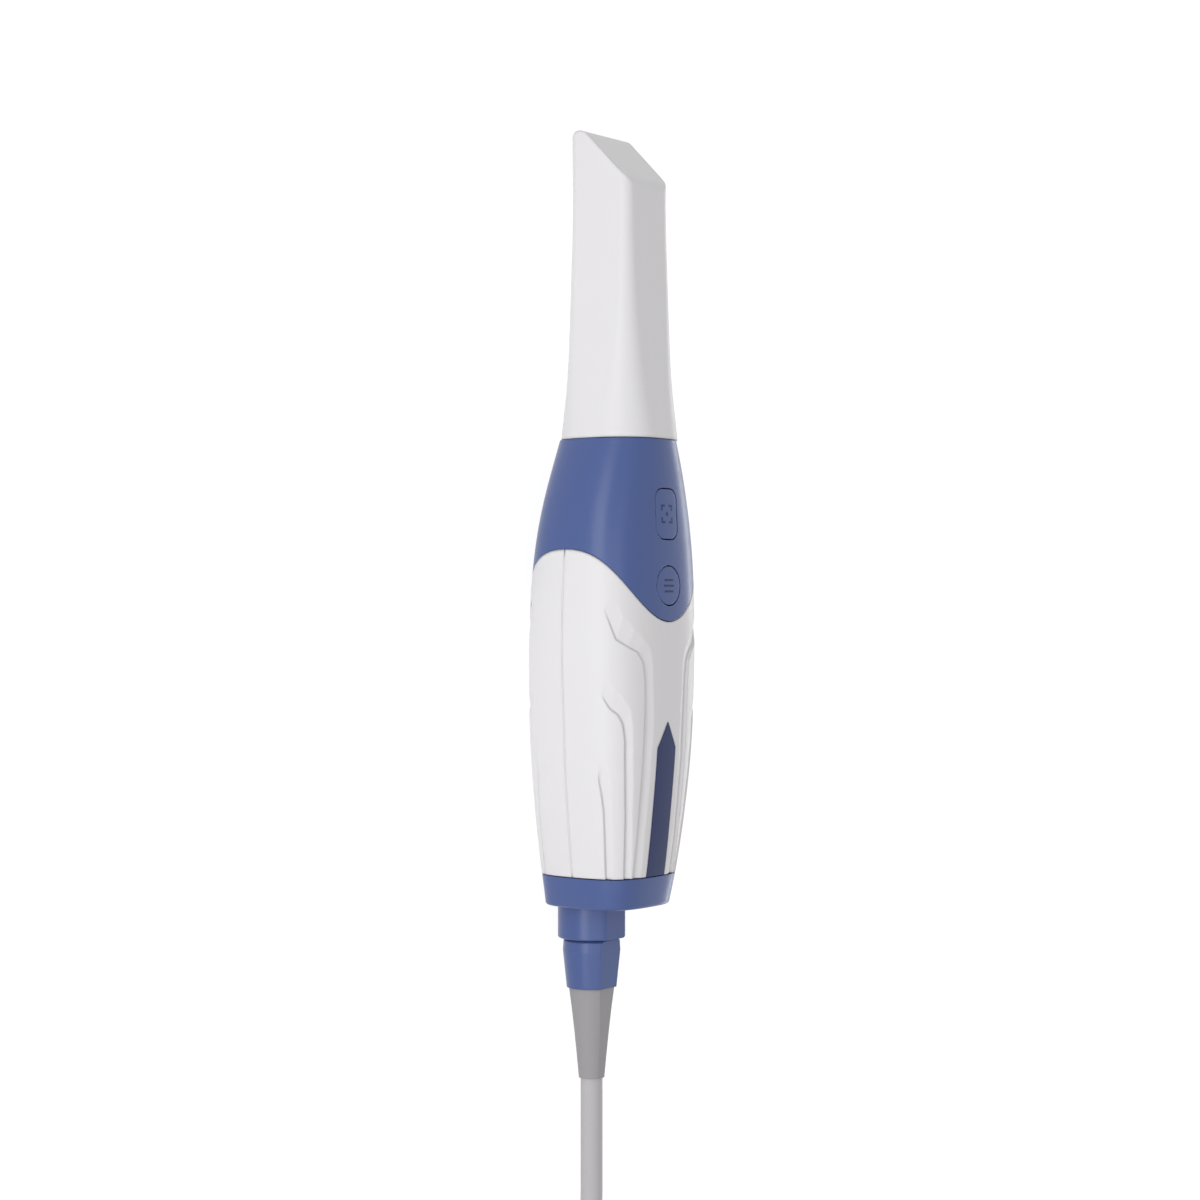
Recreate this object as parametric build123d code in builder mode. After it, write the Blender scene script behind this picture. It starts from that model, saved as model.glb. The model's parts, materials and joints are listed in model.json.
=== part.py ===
"""Intraoral scanner: a hand-held dental camera with a pull-off tip, two press buttons and a cable.

The scanner lies on its belly. +X runs from the cable end to the tip, +Z is the button side and
the origin is under the middle of the scanner, on the surface that it lies on. Lengths are mm.
Stations are lengths along X, measured forward from the rear face of the end cap.
"""

from build123d import *
from math import cos, pi, radians, sin, sqrt, tan
import os

os.makedirs("parts", exist_ok=True)

# Body
body_length = 125.3
body_width = 44.36
body_depth = 38.1
wall = 2.0
seam_gap = 0.3
lip_thickness = 1.1
lip_reach = 2.4
lip_clearance = 0.3
fit_clearance = 0.06
running_clearance = 0.3
# One row for each section of the body, from the rear face to the front face:
# share of the length, of the width, of the depth, drop of the centre as a share of half the
# depth, and the power of the section's rounded outline.
body_shares = [
    (-0.004, 0.655, 0.764, 0.218, 3.32),
    (0.0615, 0.724, 0.813, 0.192, 3.31),
    (0.157, 0.812, 0.877, 0.171, 3.25),
    (0.253, 0.884, 0.929, 0.155, 3.17),
    (0.357, 0.936, 0.976, 0.144, 3.07),
    (0.4605, 0.973, 0.993, 0.136, 2.96),
    (0.564, 1.0, 1.0, 0.128, 2.83),
    (0.66, 0.995, 0.988, 0.119, 2.79),
    (0.764, 0.973, 0.949, 0.099, 2.7),
    (0.844, 0.908, 0.906, 0.078, 2.61),
    (0.923, 0.796, 0.848, 0.049, 2.55),
    (1.0, 0.654, 0.775, 0.024, 2.54),
    (1.03, 0.600, 0.745, 0.015, 2.54),
]

# Front housing, with a tongue on the button side and one on the belly
tongue_station = 76.4
shoulder_rise = 19.3
shoulder_half_width = 21.6
collar_length = 7.0

# End cap
cap_length = 8.3
cap_wall = 2.5
cap_edge_radius = 0.9

# Tip
tip_length = 84.0
tip_wall = 1.4
tip_nose_radius = 3.0
nose_overhang = 0.02
tip_face_angle = 45.0
tip_end_size = 19.5
tip_seam = 0.15
# Share of the tip's length, share of the end size and corner radius as a share of that size.
tip_shares = [
    (0.0, 1.482, 0.39),
    (0.067, 1.395, 0.36),
    (0.164, 1.281, 0.32),
    (0.308, 1.164, 0.255),
    (0.454, 1.093, 0.205),
    (0.598, 1.044, 0.18),
    (0.775, 1.01, 0.16),
    (1.1, 1.0, 0.15),
]
window_length = 13.5
window_width = 14.5
window_corner = 3.0
window_setback = 4.5
mirror_thickness = 1.1
mirror_margin = 0.3
mirror_lift = 0.4

# Nose that the tip slides over
nose_length = 38.0
nose_clearance = 0.35
nose_wall = 1.2
nose_flange_length = 2.0
nose_flange_width = 28.6
nose_flange_height = 27.4
nose_flange_corner = 9.0
glass_thickness = 1.2
glass_rebate = 0.5
seal_offset = 5.0
seal_width = 1.6
seal_depth = 0.9
seal_stand = 0.1

# Buttons
scan_station = 105.2
scan_length = 13.3
scan_width = 9.3
scan_corner = 3.0
mode_station = 86.1
mode_diameter = 10.3
button_gap = 0.3
button_flange = 0.8
button_flange_thickness = 1.0
button_edge = 0.3
stem_diameter = 3.4
switch_width = 6.2
switch_height = 1.9
plunger_diameter = 2.6
plunger_root = 0.3
switch_floor = 0.6
plunger_height = 0.8

# Navy strip let into the upper shell
strip_width = 7.9
strip_point_station = 49.9
strip_shoulder_station = 43.0
strip_depth = 0.9
strip_proud = 0.12
strip_clearance = 0.1
strip_bed = 0.25

# Grip grooves
groove_depth = 0.8
groove_overrun = 0.6
groove_bank_degrees = 1.2
# Each row: station of the outer edge as a share of the body's length, its turn from the top in
# degrees, the same of the inner edge, and the share of the full depth.
groove_share_rows = {
    "inner": [
        (0.6480, 57.5, 0.6353, 58.4, 0.05),
        (0.6169, 46.2, 0.5738, 50.4, 0.75),
        (0.5954, 37.5, 0.5579, 41.6, 1),
        (0.5738, 28.5, 0.5475, 34.6, 1),
        (0.5571, 22, 0.5267, 29.5, 1),
        (0.5299, 19.4, 0.4868, 27.4, 1),
        (0.4789, 18.6, 0.4389, 26.9, 1),
        (0.3192, 19.2, 0.3192, 27.6, 1),
        (0.1596, 20.6, 0.1596, 29.4, 1),
        (0.0559, 22, 0.0559, 31.2, 1),
    ],
    "middle": [
        (0.4852, 59, 0.4581, 60, 0.05),
        (0.4669, 51, 0.4302, 54.2, 0.8),
        (0.4469, 44.4, 0.4166, 48.4, 1),
        (0.4262, 39.8, 0.3974, 45, 1),
        (0.3951, 38, 0.3639, 43.4, 1),
        (0.3272, 37.2, 0.3033, 42.8, 1),
        (0.1995, 35.4, 0.1995, 41.2, 1),
        (0.0559, 32.8, 0.0559, 39.4, 1),
    ],
    "outer": [
        (0.3240, 60.6, 0.2905, 62, 0.05),
        (0.3128, 57, 0.2777, 61.4, 0.6),
        (0.2953, 54, 0.2490, 59.4, 1),
        (0.2745, 52.9, 0.2171, 57.8, 1),
        (0.1995, 51.9, 0.1756, 57, 1),
        (0.0559, 49.8, 0.0559, 54.8, 1),
    ],
}

# Cable socket in the end cap
cable_drop = 9.5
ring_length = 9.5
ring_radius = 9.2
ring_flat = 8.2
ring_edge = 0.5
socket_radius = 7.7
socket_bore = 6.2
socket_flange_radius = 8.8
socket_flange_length = 1.6
socket_depth = 12.0
insert_length = 4.0
socket_lip = 0.5

# Plug and strain relief
plug_gap = 0.4
plug_length = 13.1
plug_radius = 7.7
plug_swell_radius = 7.85
plug_swell_length = 3.0
plug_end_radius = 6.8
plug_flat = 6.7
plug_end_flat = 5.7
plug_nose_length = 8.0
plug_nose_radius = 5.9
plug_nose_bore = 4.8
plug_edge = 0.4
pin_diameter = 0.8
pin_length = 2.4
pin_circle = 5.4
pin_count = 8
boot_length = 24.7
boot_radius = 6.2
boot_end_radius = 3.5
boot_flat = 5.3
boot_end_flat = 3.2
# Share of the boot's length, share of its taper
boot_shares = [(0.0, 0.0), (0.25, 0.3), (0.5, 0.56), (0.75, 0.79), (1.0, 1.0)]

# Cable
cable_diameter = 6.0
hank_run = 88.0
hank_bend = 13.5
hank_columns = 2
hank_layers = 4
hank_edge = 2.0
arc_share = 0.45
host_grip_length = 34.0
host_grip_width = 15.5
host_grip_height = 8.5
host_grip_edge = 1.6
host_neck_length = 8.0
host_neck_size = 7.6
host_shell_length = 18.5
host_shell_width = 12.0
host_shell_height = 4.5
host_shell_wall = 0.4
host_tongue_height = 1.7
tie_width = 12.0
tie_thickness = 1.2

# Chassis and electronics
plate_level = -8.8
plate_thickness = 1.6
plate_half_width = 12.0
plate_rear_station = 16.0
block_front_station = 115.4
block_length = 11.0
block_half_width = 13.6
block_top = 6.2
post_diameter = 5.0
rear_post_stations = (22.0, 62.0)
front_post_station = 97.5
post_half_spread = 10.0
screw_diameter = 2.0
screw_head_diameter = 3.8
screw_head_height = 1.4
screw_reach = 3.5
screw_head_edge = 0.4
screw_socket_diameter = 1.8
screw_socket_depth = 0.7
thread_gap = 0.2
engine_length = 24.0
engine_width = 15.0
engine_height = 13.2
engine_edge = 0.8
engine_fins = 6
engine_fin_pitch = 1.5
engine_fin_depth = 1.2
projector_bore = 9.0
projector_barrel = 8.8
projector_reach = 4.0
camera_bore = 6.2
camera_barrel = 6.0
camera_reach = 0.5
camera_half_spread = 8.4
camera_board_width = 7.0
camera_board_height = 9.0
camera_mouth = 2.4
camera_board_thickness = 1.0
lens_bulge = 0.5
lens_thickness = 1.0
lens_setback = 1.2
lens_wall = 0.9
board_thickness = 1.2
board_half_width = 11.5
board_rear_station = 19.0
board_front_station = 74.0
spreader_thickness = 1.8
spreader_length = 34.0
spreader_half_width = 6.0
standoff_stations = (31.0, 70.0)
standoff_half_spread = 9.2
standoff_diameter = 4.0
chip_size = 13.0
chip_height = 1.6
chip_edge = 0.2
board_corner = 1.5
small_chip_size = 7.0
memory_half_spread = 4.9
connector_length = 4.5
connector_width = 13.0
connector_height = 2.6
button_board_level = 8.9
button_board_thickness = 1.0
button_board_half_width = 9.6
button_board_length = 36.0
button_board_front = 115.0
boss_diameter = 3.8
boss_half_spread = 7.6
boss_setbacks = (2.4, 20.0)
motor_diameter = 10.0
motor_thickness = 3.2
motor_station = 42.0
ribbon_width = 8.0
ribbon_thickness = 0.3
ribbon_bend = 1.6
ribbon_landing = 4.0

overrun = 60.0

# Values worked out from the sizes above
body_half = body_depth / 2
floor_drop = max(body_half * (depth + drop) for _, _, depth, drop, _ in body_shares)
cable_half = cable_diameter / 2
scanner_length = ring_length + body_length + tip_length
origin_station = scanner_length / 2 - ring_length
seam_station = cap_length
cable_level = floor_drop - cable_drop
tip_front = body_length + tip_length
block_rear_station = block_front_station - block_length
plate_top = floor_drop + plate_level + plate_thickness
plate_bottom = floor_drop + plate_level
flange_station = body_length - collar_length
board_bottom = plate_top + spreader_thickness
board_top = board_bottom + board_thickness
button_board_top = floor_drop + button_board_level
switch_top = button_board_top + switch_height
plunger_top = switch_top + plunger_height


def along(station):
    """Station along the scanner to X."""
    return station - origin_station


def section_at(station):
    """Half width, half depth, centre level and power of the body's outline at a station."""
    share = station / body_length
    rows = body_shares
    low = max(index for index in range(len(rows) - 1) if index == 0 or rows[index][0] <= share)
    first, second = rows[low], rows[low + 1]
    blend = (share - first[0]) / (second[0] - first[0])
    _, width, depth, drop, power = [a + blend * (b - a) for a, b in zip(first, second)]
    return body_width / 2 * width, body_half * depth, floor_drop - body_half * drop, power


def outline_point(half_width, half_depth, power, turn):
    """Point of a rounded outline, turned from its top by an angle in radians."""
    across, up = sin(turn), cos(turn)
    reach = (abs(across / half_width) ** power + abs(up / half_depth) ** power) ** (-1 / power)
    return reach * across, reach * up


def surface_point(station, degrees, depth, side, flip):
    """Point under the body's surface, with the turn measured from the top or, flipped, the belly."""
    half_width, half_depth, level, power = section_at(station)
    across, up = outline_point(half_width - depth, half_depth - depth, power, radians(degrees))
    return Vector(along(station), side * across, level + flip * up)


def quarter(half_width, half_depth, level, power):
    """One quarter of a rounded outline, from its top or bottom round to its side."""
    pull = (8 * 2 ** (-1 / power) - 4) / 3
    Bezier((0, level + half_depth), (pull * half_width, level + half_depth),
           (half_width, level + pull * half_depth), (half_width, level))


def body_form(inset):
    """The body's outer form, drawn in by an inset on every side."""
    with BuildPart() as form:
        for share, width, depth, drop, power in body_shares:
            half_width = body_width / 2 * width - inset
            half_depth = body_half * depth - inset
            level = floor_drop - body_half * drop
            with BuildSketch(Plane.YZ.offset(along(share * body_length))):
                with BuildLine():
                    for side, flip in ((1, 1), (1, -1), (-1, -1), (-1, 1)):
                        quarter(side * half_width, flip * half_depth, level, power)
                make_face()
        loft()
    return form.part


def half_form(inset, flip, gap):
    """The upper or lower half of the body's form, which stops a gap away from the seam."""
    with BuildPart() as form:
        for share, width, depth, drop, power in body_shares:
            half_width = body_width / 2 * width - inset
            half_depth = body_half * depth - inset - gap
            level = floor_drop - body_half * drop + flip * gap
            with BuildSketch(Plane.YZ.offset(along(share * body_length))):
                with BuildLine():
                    quarter(half_width, flip * half_depth, level, power)
                    quarter(-half_width, flip * half_depth, level, power)
                    Line((half_width, level), (-half_width, level))
                make_face()
        loft()
    return form.part


def tip_form(inset):
    """The tip's outer form before its end is cut, drawn in by an inset."""
    with BuildPart() as form:
        for share, size, corner in tip_shares:
            side = tip_end_size * size
            with BuildSketch(Plane.YZ.offset(along(body_length + share * tip_length))):
                with Locations((0, floor_drop)):
                    RectangleRounded(side - 2 * inset, side - 2 * inset, side * corner - inset)
        loft()
    return form.part


def slab(start, end):
    """Everything between two stations."""
    with BuildPart() as block:
        with BuildSketch(Plane.YZ.offset(along(start))):
            Rectangle(2 * overrun, 2 * overrun)
        extrude(amount=end - start)
    return block.part


def tongue_region(shift):
    """Everything ahead of the front housing's edge, moved forward by a shift."""
    vertex = along(tongue_station + shift)
    slope = shoulder_rise / shoulder_half_width ** 2
    reach = overrun / 2
    rise = slope * reach ** 2
    front = along(body_length + overrun)
    with BuildPart() as region:
        with BuildSketch(Plane.XY.offset(-overrun)):
            with BuildLine():
                Bezier((vertex + rise, -reach), (vertex - rise, 0), (vertex + rise, reach))
                Polyline((vertex + rise, -reach), (front, -reach), (front, reach),
                         (vertex + rise, reach))
            make_face()
        extrude(amount=3 * overrun)
    return region.part


def seam_band(low, high):
    """Everything between two heights measured from the seam along the body's sides."""
    with BuildPart() as band:
        with BuildSketch(Plane.XZ.offset(-overrun)):
            with BuildLine():
                edges = [Spline(*[(along(share * body_length), floor_drop - body_half * drop + shift)
                                  for share, _, _, drop, _ in body_shares])
                         for shift in (low, high)]
                Line(edges[0] @ 0, edges[1] @ 0)
                Line(edges[0] @ 1, edges[1] @ 1)
            make_face()
        extrude(amount=2 * overrun)
    return band.part


def level_slab(bottom, top):
    """Everything between two levels."""
    with BuildPart() as block:
        with BuildSketch(Plane.XY.offset(bottom)):
            Rectangle(6 * overrun, 2 * overrun)
        extrude(amount=top - bottom)
    return block.part


def level_rod(diameter, station, across, bottom, top):
    """An upright rod between two levels."""
    with BuildPart() as rod:
        with BuildSketch(Plane.XY.offset(bottom)):
            with Locations((along(station), across)):
                Circle(diameter / 2)
        extrude(amount=top - bottom)
    return rod.part


outer_form = body_form(0)
cavity_form = body_form(wall)
lip_outer_form = body_form(wall + lip_clearance)
lip_inner_form = body_form(wall + lip_thickness)
half_wall_form = body_form(wall / 2)
cavity_region = cavity_form & slab(cap_wall, flange_station)


def lip(span, bare_span):
    """Lip rooted in a wall, which stands free of the neighbour's wall over its bare span."""
    return ((half_wall_form - lip_inner_form) & span) - (bare_span - lip_outer_form)


def scan_outline(growth):
    """Rounded rectangle of the scan button, grown on every side."""
    with Locations((along(scan_station), 0)):
        RectangleRounded(scan_length + 2 * growth, scan_width + 2 * growth, scan_corner + growth)


def mode_outline(growth):
    """Circle of the mode button, grown on every side."""
    with Locations((along(mode_station), 0)):
        Circle(mode_diameter / 2 + growth)


def nose_section(station, inset):
    """Side and corner of the nose's rounded square at a station, drawn in by an inset."""
    share = (station - body_length) / tip_length
    rows = tip_shares
    low = max(index for index in range(len(rows) - 1) if index == 0 or rows[index][0] <= share)
    first, second = rows[low], rows[low + 1]
    blend = max(share - first[0], 0) / (second[0] - first[0])
    _, size, corner = [a + blend * (b - a) for a, b in zip(first, second)]
    side = tip_end_size * size
    gap = tip_wall + nose_clearance + inset
    return side - 2 * gap, side * corner - gap


def nose_form(inset, rear, front):
    """The nose's form between two stations, drawn in by an inset."""
    steps = 5
    with BuildPart() as form:
        for step in range(steps + 1):
            station = rear + (front - rear) * step / steps
            side, corner = nose_section(station, inset)
            with BuildSketch(Plane.YZ.offset(along(station))):
                with Locations((0, floor_drop)):
                    RectangleRounded(side, side, corner)
        loft()
    return form.part


def add_posts(stations):
    """Posts that rise from a shell's floor to the chassis, bored for its screws."""
    places = [(station, side * post_half_spread) for station in stations for side in (-1, 1)]
    add([level_rod(post_diameter, station, across, 0, plate_bottom) & half_wall_form
         for station, across in places])
    add([level_rod(screw_diameter, station, across, plate_bottom - screw_reach,
                   plate_bottom + screw_reach) for station, across in places],
        mode=Mode.SUBTRACT)


def add_bosses():
    """Bosses that hang from the front housing's roof and carry the button board."""
    places = [(button_board_front - setback, side * boss_half_spread)
              for setback in boss_setbacks for side in (-1, 1)]
    add([level_rod(boss_diameter, station, across, button_board_top, floor_drop + body_half)
         & half_wall_form for station, across in places])
    add([level_rod(screw_diameter, station, across, button_board_top - screw_reach,
                   button_board_top + screw_reach) for station, across in places],
        mode=Mode.SUBTRACT)


# Front housing
nose_rear_station = flange_station - nose_flange_length
nose_front_station = body_length + nose_length
with BuildPart() as front_housing:
    add(outer_form & slab(0, body_length))
    add(tongue_region(seam_gap), mode=Mode.INTERSECT)
    add(cavity_region, mode=Mode.SUBTRACT)
    add(nose_form(-lip_clearance, flange_station - overrun / 4, body_length + overrun / 4),
        mode=Mode.SUBTRACT)
    add(lip(tongue_region(-lip_reach) - tongue_region(lip_reach),
            tongue_region(-2 * lip_reach) - tongue_region(seam_gap)))
    with BuildSketch(Plane.XY.offset(floor_drop)):
        scan_outline(button_gap)
        mode_outline(button_gap)
    extrude(amount=overrun, mode=Mode.SUBTRACT)
    add_bosses()
    add_posts((front_post_station,))
front_housing.part.label = "front_housing"
export_step(front_housing.part, "parts/front_housing.step")


def groove_cutter(rows, side, flip):
    """Wedge that cuts one grip groove: a long slope in from its outer edge and a steep bank."""
    faces = []
    for outer_share, outer_turn, inner_share, inner_turn, depth_share in rows:
        outer_station, inner_station = outer_share * body_length, inner_share * body_length
        edge = surface_point(outer_station, outer_turn, 0, side, flip)
        root = surface_point(inner_station, inner_turn, depth_share * groove_depth, side, flip)
        bank = surface_point(inner_station, inner_turn + groove_bank_degrees * depth_share,
                             -groove_overrun, side, flip)
        brow = edge + (edge - root) * groove_overrun
        faces.append(Face(Wire.make_polygon([root, bank, brow], close=True)))
    with BuildPart() as cutter:
        loft(sections=faces, ruled=True)
    return cutter.part


def groove_cutters(flip):
    """The cutters of one half of the handle, three on each side."""
    return [groove_cutter(rows, side, flip) for rows in groove_share_rows.values()
            for side in (-1, 1)]


def strip_region(clearance, rear_station):
    """Upright column on the strip's pointed outline."""
    half = strip_width / 2 + clearance
    with BuildPart() as column:
        with BuildSketch(Plane.XY.offset(floor_drop)):
            with BuildLine():
                Polyline((along(rear_station), -half), (along(strip_shoulder_station), -half),
                         (along(strip_point_station) + clearance, 0),
                         (along(strip_shoulder_station), half), (along(rear_station), half),
                         close=True)
            make_face()
        extrude(amount=overrun)
    return column.part


handle_region = slab(seam_station + seam_gap, body_length) - tongue_region(0)


def handle_half(flip):
    """One half of the handle's shell, grooved for grip."""
    with BuildPart() as half:
        add(half_form(0, flip, seam_gap / 2))
        add(cavity_form, mode=Mode.SUBTRACT)
        add(handle_region, mode=Mode.INTERSECT)
        add(groove_cutters(flip), mode=Mode.SUBTRACT)
    return half.part


# Upper shell of the handle
with BuildPart() as upper_shell:
    add(handle_half(1))
    add(strip_region(strip_clearance, seam_station - overrun) - body_form(strip_depth),
        mode=Mode.SUBTRACT)
upper_shell.part.label = "upper_shell"
export_step(upper_shell.part, "parts/upper_shell.step")

# Lower shell, with the posts that carry the chassis
with BuildPart() as lower_shell:
    add(handle_half(-1))
    lip_front = tongue_station + shoulder_rise - 4 * lip_reach
    lip_span = slab(seam_station + 2 * lip_reach, lip_front)
    add(lip(seam_band(-lip_reach, lip_reach) & lip_span, seam_band(-seam_gap / 2, 2 * lip_reach)))
    add_posts(rear_post_stations)
lower_shell.part.label = "lower_shell"
export_step(lower_shell.part, "parts/lower_shell.step")

# Navy strip
with BuildPart() as grip_strip:
    add(strip_region(0, seam_station + seam_gap))
    add(body_form(-strip_proud), mode=Mode.INTERSECT)
    add(body_form(strip_depth - strip_bed), mode=Mode.SUBTRACT)
grip_strip.part.label = "grip_strip"
export_step(grip_strip.part, "parts/grip_strip.step")

# End cap
with BuildPart() as end_cap:
    add(outer_form & slab(0, seam_station))
    fillet(end_cap.faces().sort_by(Axis.X)[0].edges(), cap_edge_radius)
    add(cavity_region, mode=Mode.SUBTRACT)
    add(lip(slab(seam_station - lip_reach, seam_station + lip_reach),
            slab(seam_station, seam_station + 2 * lip_reach)))
    with BuildSketch(Plane.YZ.offset(along(0))):
        with Locations((0, cable_level)):
            Circle(socket_radius + fit_clearance)
    extrude(amount=cap_wall, mode=Mode.SUBTRACT)
end_cap.part.label = "end_cap"
export_step(end_cap.part, "parts/end_cap.step")


def cut_profile(inset):
    """Side view of the tip, closed by its sloping end and rounded nose, drawn in by an inset."""
    radius = tip_nose_radius - inset
    middle_x = along(tip_front - tip_nose_radius)
    middle_z = floor_drop - tip_end_size / 2 + tip_nose_radius
    lean = radians(tip_face_angle)
    slope_x, slope_z = middle_x + radius * sin(lean), middle_z + radius * cos(lean)
    rise = overrun / 2
    with BuildPart() as region:
        with BuildSketch(Plane.XZ.offset(-overrun)):
            with BuildLine():
                nose = ThreePointArc((middle_x, middle_z - radius - nose_overhang),
                                     (middle_x + radius, middle_z), (slope_x, slope_z))
                Polyline(nose @ 1, (slope_x - rise / tan(lean), slope_z + rise),
                         (along(0), slope_z + rise), (along(0), middle_z - rise),
                         (middle_x, middle_z - rise), nose @ 0)
            make_face()
        extrude(amount=2 * overrun)
    return region.part


# Tip, open at the rear and with a window on its belly side
tip_bottom = floor_drop - tip_end_size / 2
window_front = tip_front - window_setback
window_middle = along(window_front - window_length / 2)
with BuildPart() as tip_sleeve:
    add(tip_form(0))
    add(cut_profile(0), mode=Mode.INTERSECT)
    add(tip_form(tip_wall) & cut_profile(tip_wall), mode=Mode.SUBTRACT)
    add(slab(0, body_length + tip_seam), mode=Mode.SUBTRACT)
    with BuildSketch(Plane.XY.offset(tip_bottom - overrun / 4)):
        with Locations((window_middle, 0)):
            RectangleRounded(window_length, window_width, window_corner)
    extrude(amount=overrun / 4 + tip_end_size / 4, mode=Mode.SUBTRACT)
tip_sleeve.part.label = "tip_sleeve"
export_step(tip_sleeve.part, "parts/tip_sleeve.step")

# Mirror, bedded on the inside of the tip's sloping end
with BuildPart() as tip_mirror:
    add(tip_form(tip_wall + mirror_margin))
    add(cut_profile(tip_wall), mode=Mode.INTERSECT)
    add(cut_profile(tip_wall + mirror_thickness), mode=Mode.SUBTRACT)
    mirror_low = floor_drop - tip_end_size / 2 + tip_nose_radius + mirror_lift
    add(level_slab(mirror_low, floor_drop + tip_end_size), mode=Mode.INTERSECT)
tip_mirror.part.label = "tip_mirror"
export_step(tip_mirror.part, "parts/tip_mirror.step")

# Nose tube, with a flange behind the front housing's collar
with BuildPart() as nose_tube:
    with BuildSketch(Plane.YZ.offset(along(nose_rear_station))):
        with Locations((0, floor_drop)):
            RectangleRounded(nose_flange_width, nose_flange_height, nose_flange_corner)
    extrude(amount=nose_flange_length)
    add(lip_outer_form, mode=Mode.INTERSECT)
    add(nose_form(0, flange_station - nose_flange_length / 2, nose_front_station))
    add(nose_form(nose_wall, nose_rear_station - overrun / 8, nose_front_station + overrun / 8),
        mode=Mode.SUBTRACT)
    add(nose_form(glass_rebate, nose_front_station - glass_thickness,
                  nose_front_station + overrun / 8), mode=Mode.SUBTRACT)
    seal_start = body_length + seal_offset
    add(slab(seal_start, seal_start + seal_width)
        - nose_form(seal_depth, seal_start - seal_width, seal_start + 2 * seal_width),
        mode=Mode.SUBTRACT)
nose_tube.part.label = "nose_tube"
export_step(nose_tube.part, "parts/nose_tube.step")

with BuildPart() as nose_glass:
    add(nose_form(glass_rebate + lip_clearance, nose_front_station - glass_thickness,
                  nose_front_station))
nose_glass.part.label = "nose_glass"
export_step(nose_glass.part, "parts/nose_glass.step")

with BuildPart() as tip_seal:
    add(nose_form(-seal_stand, seal_start, seal_start + seal_width))
    add(nose_form(seal_depth, seal_start - seal_width, seal_start + 2 * seal_width),
        mode=Mode.SUBTRACT)
tip_seal.part.label = "tip_seal"
export_step(tip_seal.part, "parts/tip_seal.step")


def outline_column(outline, growth, form):
    """Upright column on a button's outline, closed on top by a form."""
    with BuildPart() as column:
        with BuildSketch(Plane.XY.offset(floor_drop)):
            outline(growth)
        extrude(amount=overrun)
        add(form, mode=Mode.INTERSECT)
    return column.part


def flange_level(station):
    """Underside of the flange that keeps a button in."""
    _, half_depth, level, _ = section_at(station)
    return level + half_depth - wall - running_clearance - button_flange_thickness


button_ceiling = body_form(wall + running_clearance)

# Scan button
with BuildPart() as scan_button:
    add(outline_column(scan_outline, 0, outer_form))
    fillet(scan_button.faces().sort_by(Axis.Z)[-1].edges(), button_edge)
    add(outline_column(scan_outline, button_flange, button_ceiling))
    add(level_slab(flange_level(scan_station), floor_drop + body_depth), mode=Mode.INTERSECT)
    add(level_rod(stem_diameter, scan_station, 0, plunger_top, flange_level(scan_station)))
scan_button.part.label = "scan_button"
export_step(scan_button.part, "parts/scan_button.step")

# Mode button
with BuildPart() as mode_button:
    add(outline_column(mode_outline, 0, outer_form))
    fillet(mode_button.faces().sort_by(Axis.Z)[-1].edges(), button_edge)
    add(outline_column(mode_outline, button_flange, button_ceiling))
    add(level_slab(flange_level(mode_station), floor_drop + body_depth), mode=Mode.INTERSECT)
    add(level_rod(stem_diameter, mode_station, 0, plunger_top, flange_level(mode_station)))
mode_button.part.label = "mode_button"
export_step(mode_button.part, "parts/mode_button.step")

# Switches on the button board, each with a plunger under its button's stem
plunger_bottom = switch_top - plunger_root
for name, station in (("scan", scan_station), ("mode", mode_station)):
    with BuildPart() as switch:
        with BuildSketch(Plane.XY.offset(button_board_top)):
            with Locations((along(station), 0)):
                Rectangle(switch_width, switch_width)
        extrude(amount=switch_height)
        add(level_rod(plunger_diameter + 2 * running_clearance, station, 0,
                      button_board_top + switch_floor, switch_top + plunger_height),
            mode=Mode.SUBTRACT)
    switch.part.label = name + "_switch"
    export_step(switch.part, f"parts/{name}_switch.step")
    with BuildPart() as plunger:
        add(level_rod(plunger_diameter, station, 0, plunger_bottom, plunger_top))
    plunger.part.label = name + "_plunger"
    export_step(plunger.part, f"parts/{name}_plunger.step")


def screw(station, across, head_level, direction):
    """Pan-head screw: its head rests at a level, its shank runs up or down from there."""
    rod_end = head_level + direction * (screw_reach - thread_gap)
    with BuildPart() as fastener:
        with BuildSketch(Plane.XY.offset(head_level)):
            with Locations((along(station), across)):
                Circle(screw_head_diameter / 2)
        extrude(amount=-direction * screw_head_height)
        fillet(fastener.edges().sort_by(Axis.Z)[0 if direction > 0 else -1], screw_head_edge)
        with BuildSketch(Plane.XY.offset(head_level - direction * screw_head_height)):
            with Locations((along(station), across)):
                RegularPolygon(screw_socket_diameter / 2, 6)
        extrude(amount=direction * screw_socket_depth, mode=Mode.SUBTRACT)
        add(level_rod(screw_diameter - 2 * fit_clearance, station, across,
                      min(head_level, rod_end), max(head_level, rod_end)))
    return fastener.part


def screw_group(places, head_level, direction):
    """A set of like screws as separate solids."""
    return Compound(children=[screw(station, across, head_level, direction)
                              for station, across in places])


# Button board under the front housing's bosses
button_board_bottom = button_board_top - button_board_thickness
boss_places = [(button_board_front - setback, side * boss_half_spread)
               for setback in boss_setbacks for side in (-1, 1)]
with BuildPart() as button_board:
    with BuildSketch(Plane.XY.offset(button_board_bottom)):
        with Locations((along(button_board_front - button_board_length / 2), 0)):
            RectangleRounded(button_board_length, 2 * button_board_half_width, board_corner)
        for station, across in boss_places:
            with Locations((along(station), across)):
                Circle(screw_diameter / 2, mode=Mode.SUBTRACT)
    extrude(amount=button_board_thickness)
button_board.part.label = "button_board"
export_step(button_board.part, "parts/button_board.step")

button_board_screws = screw_group(boss_places, button_board_bottom, 1)
button_board_screws.label = "button_board_screws"
export_step(button_board_screws, "parts/button_board_screws.step")

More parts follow.
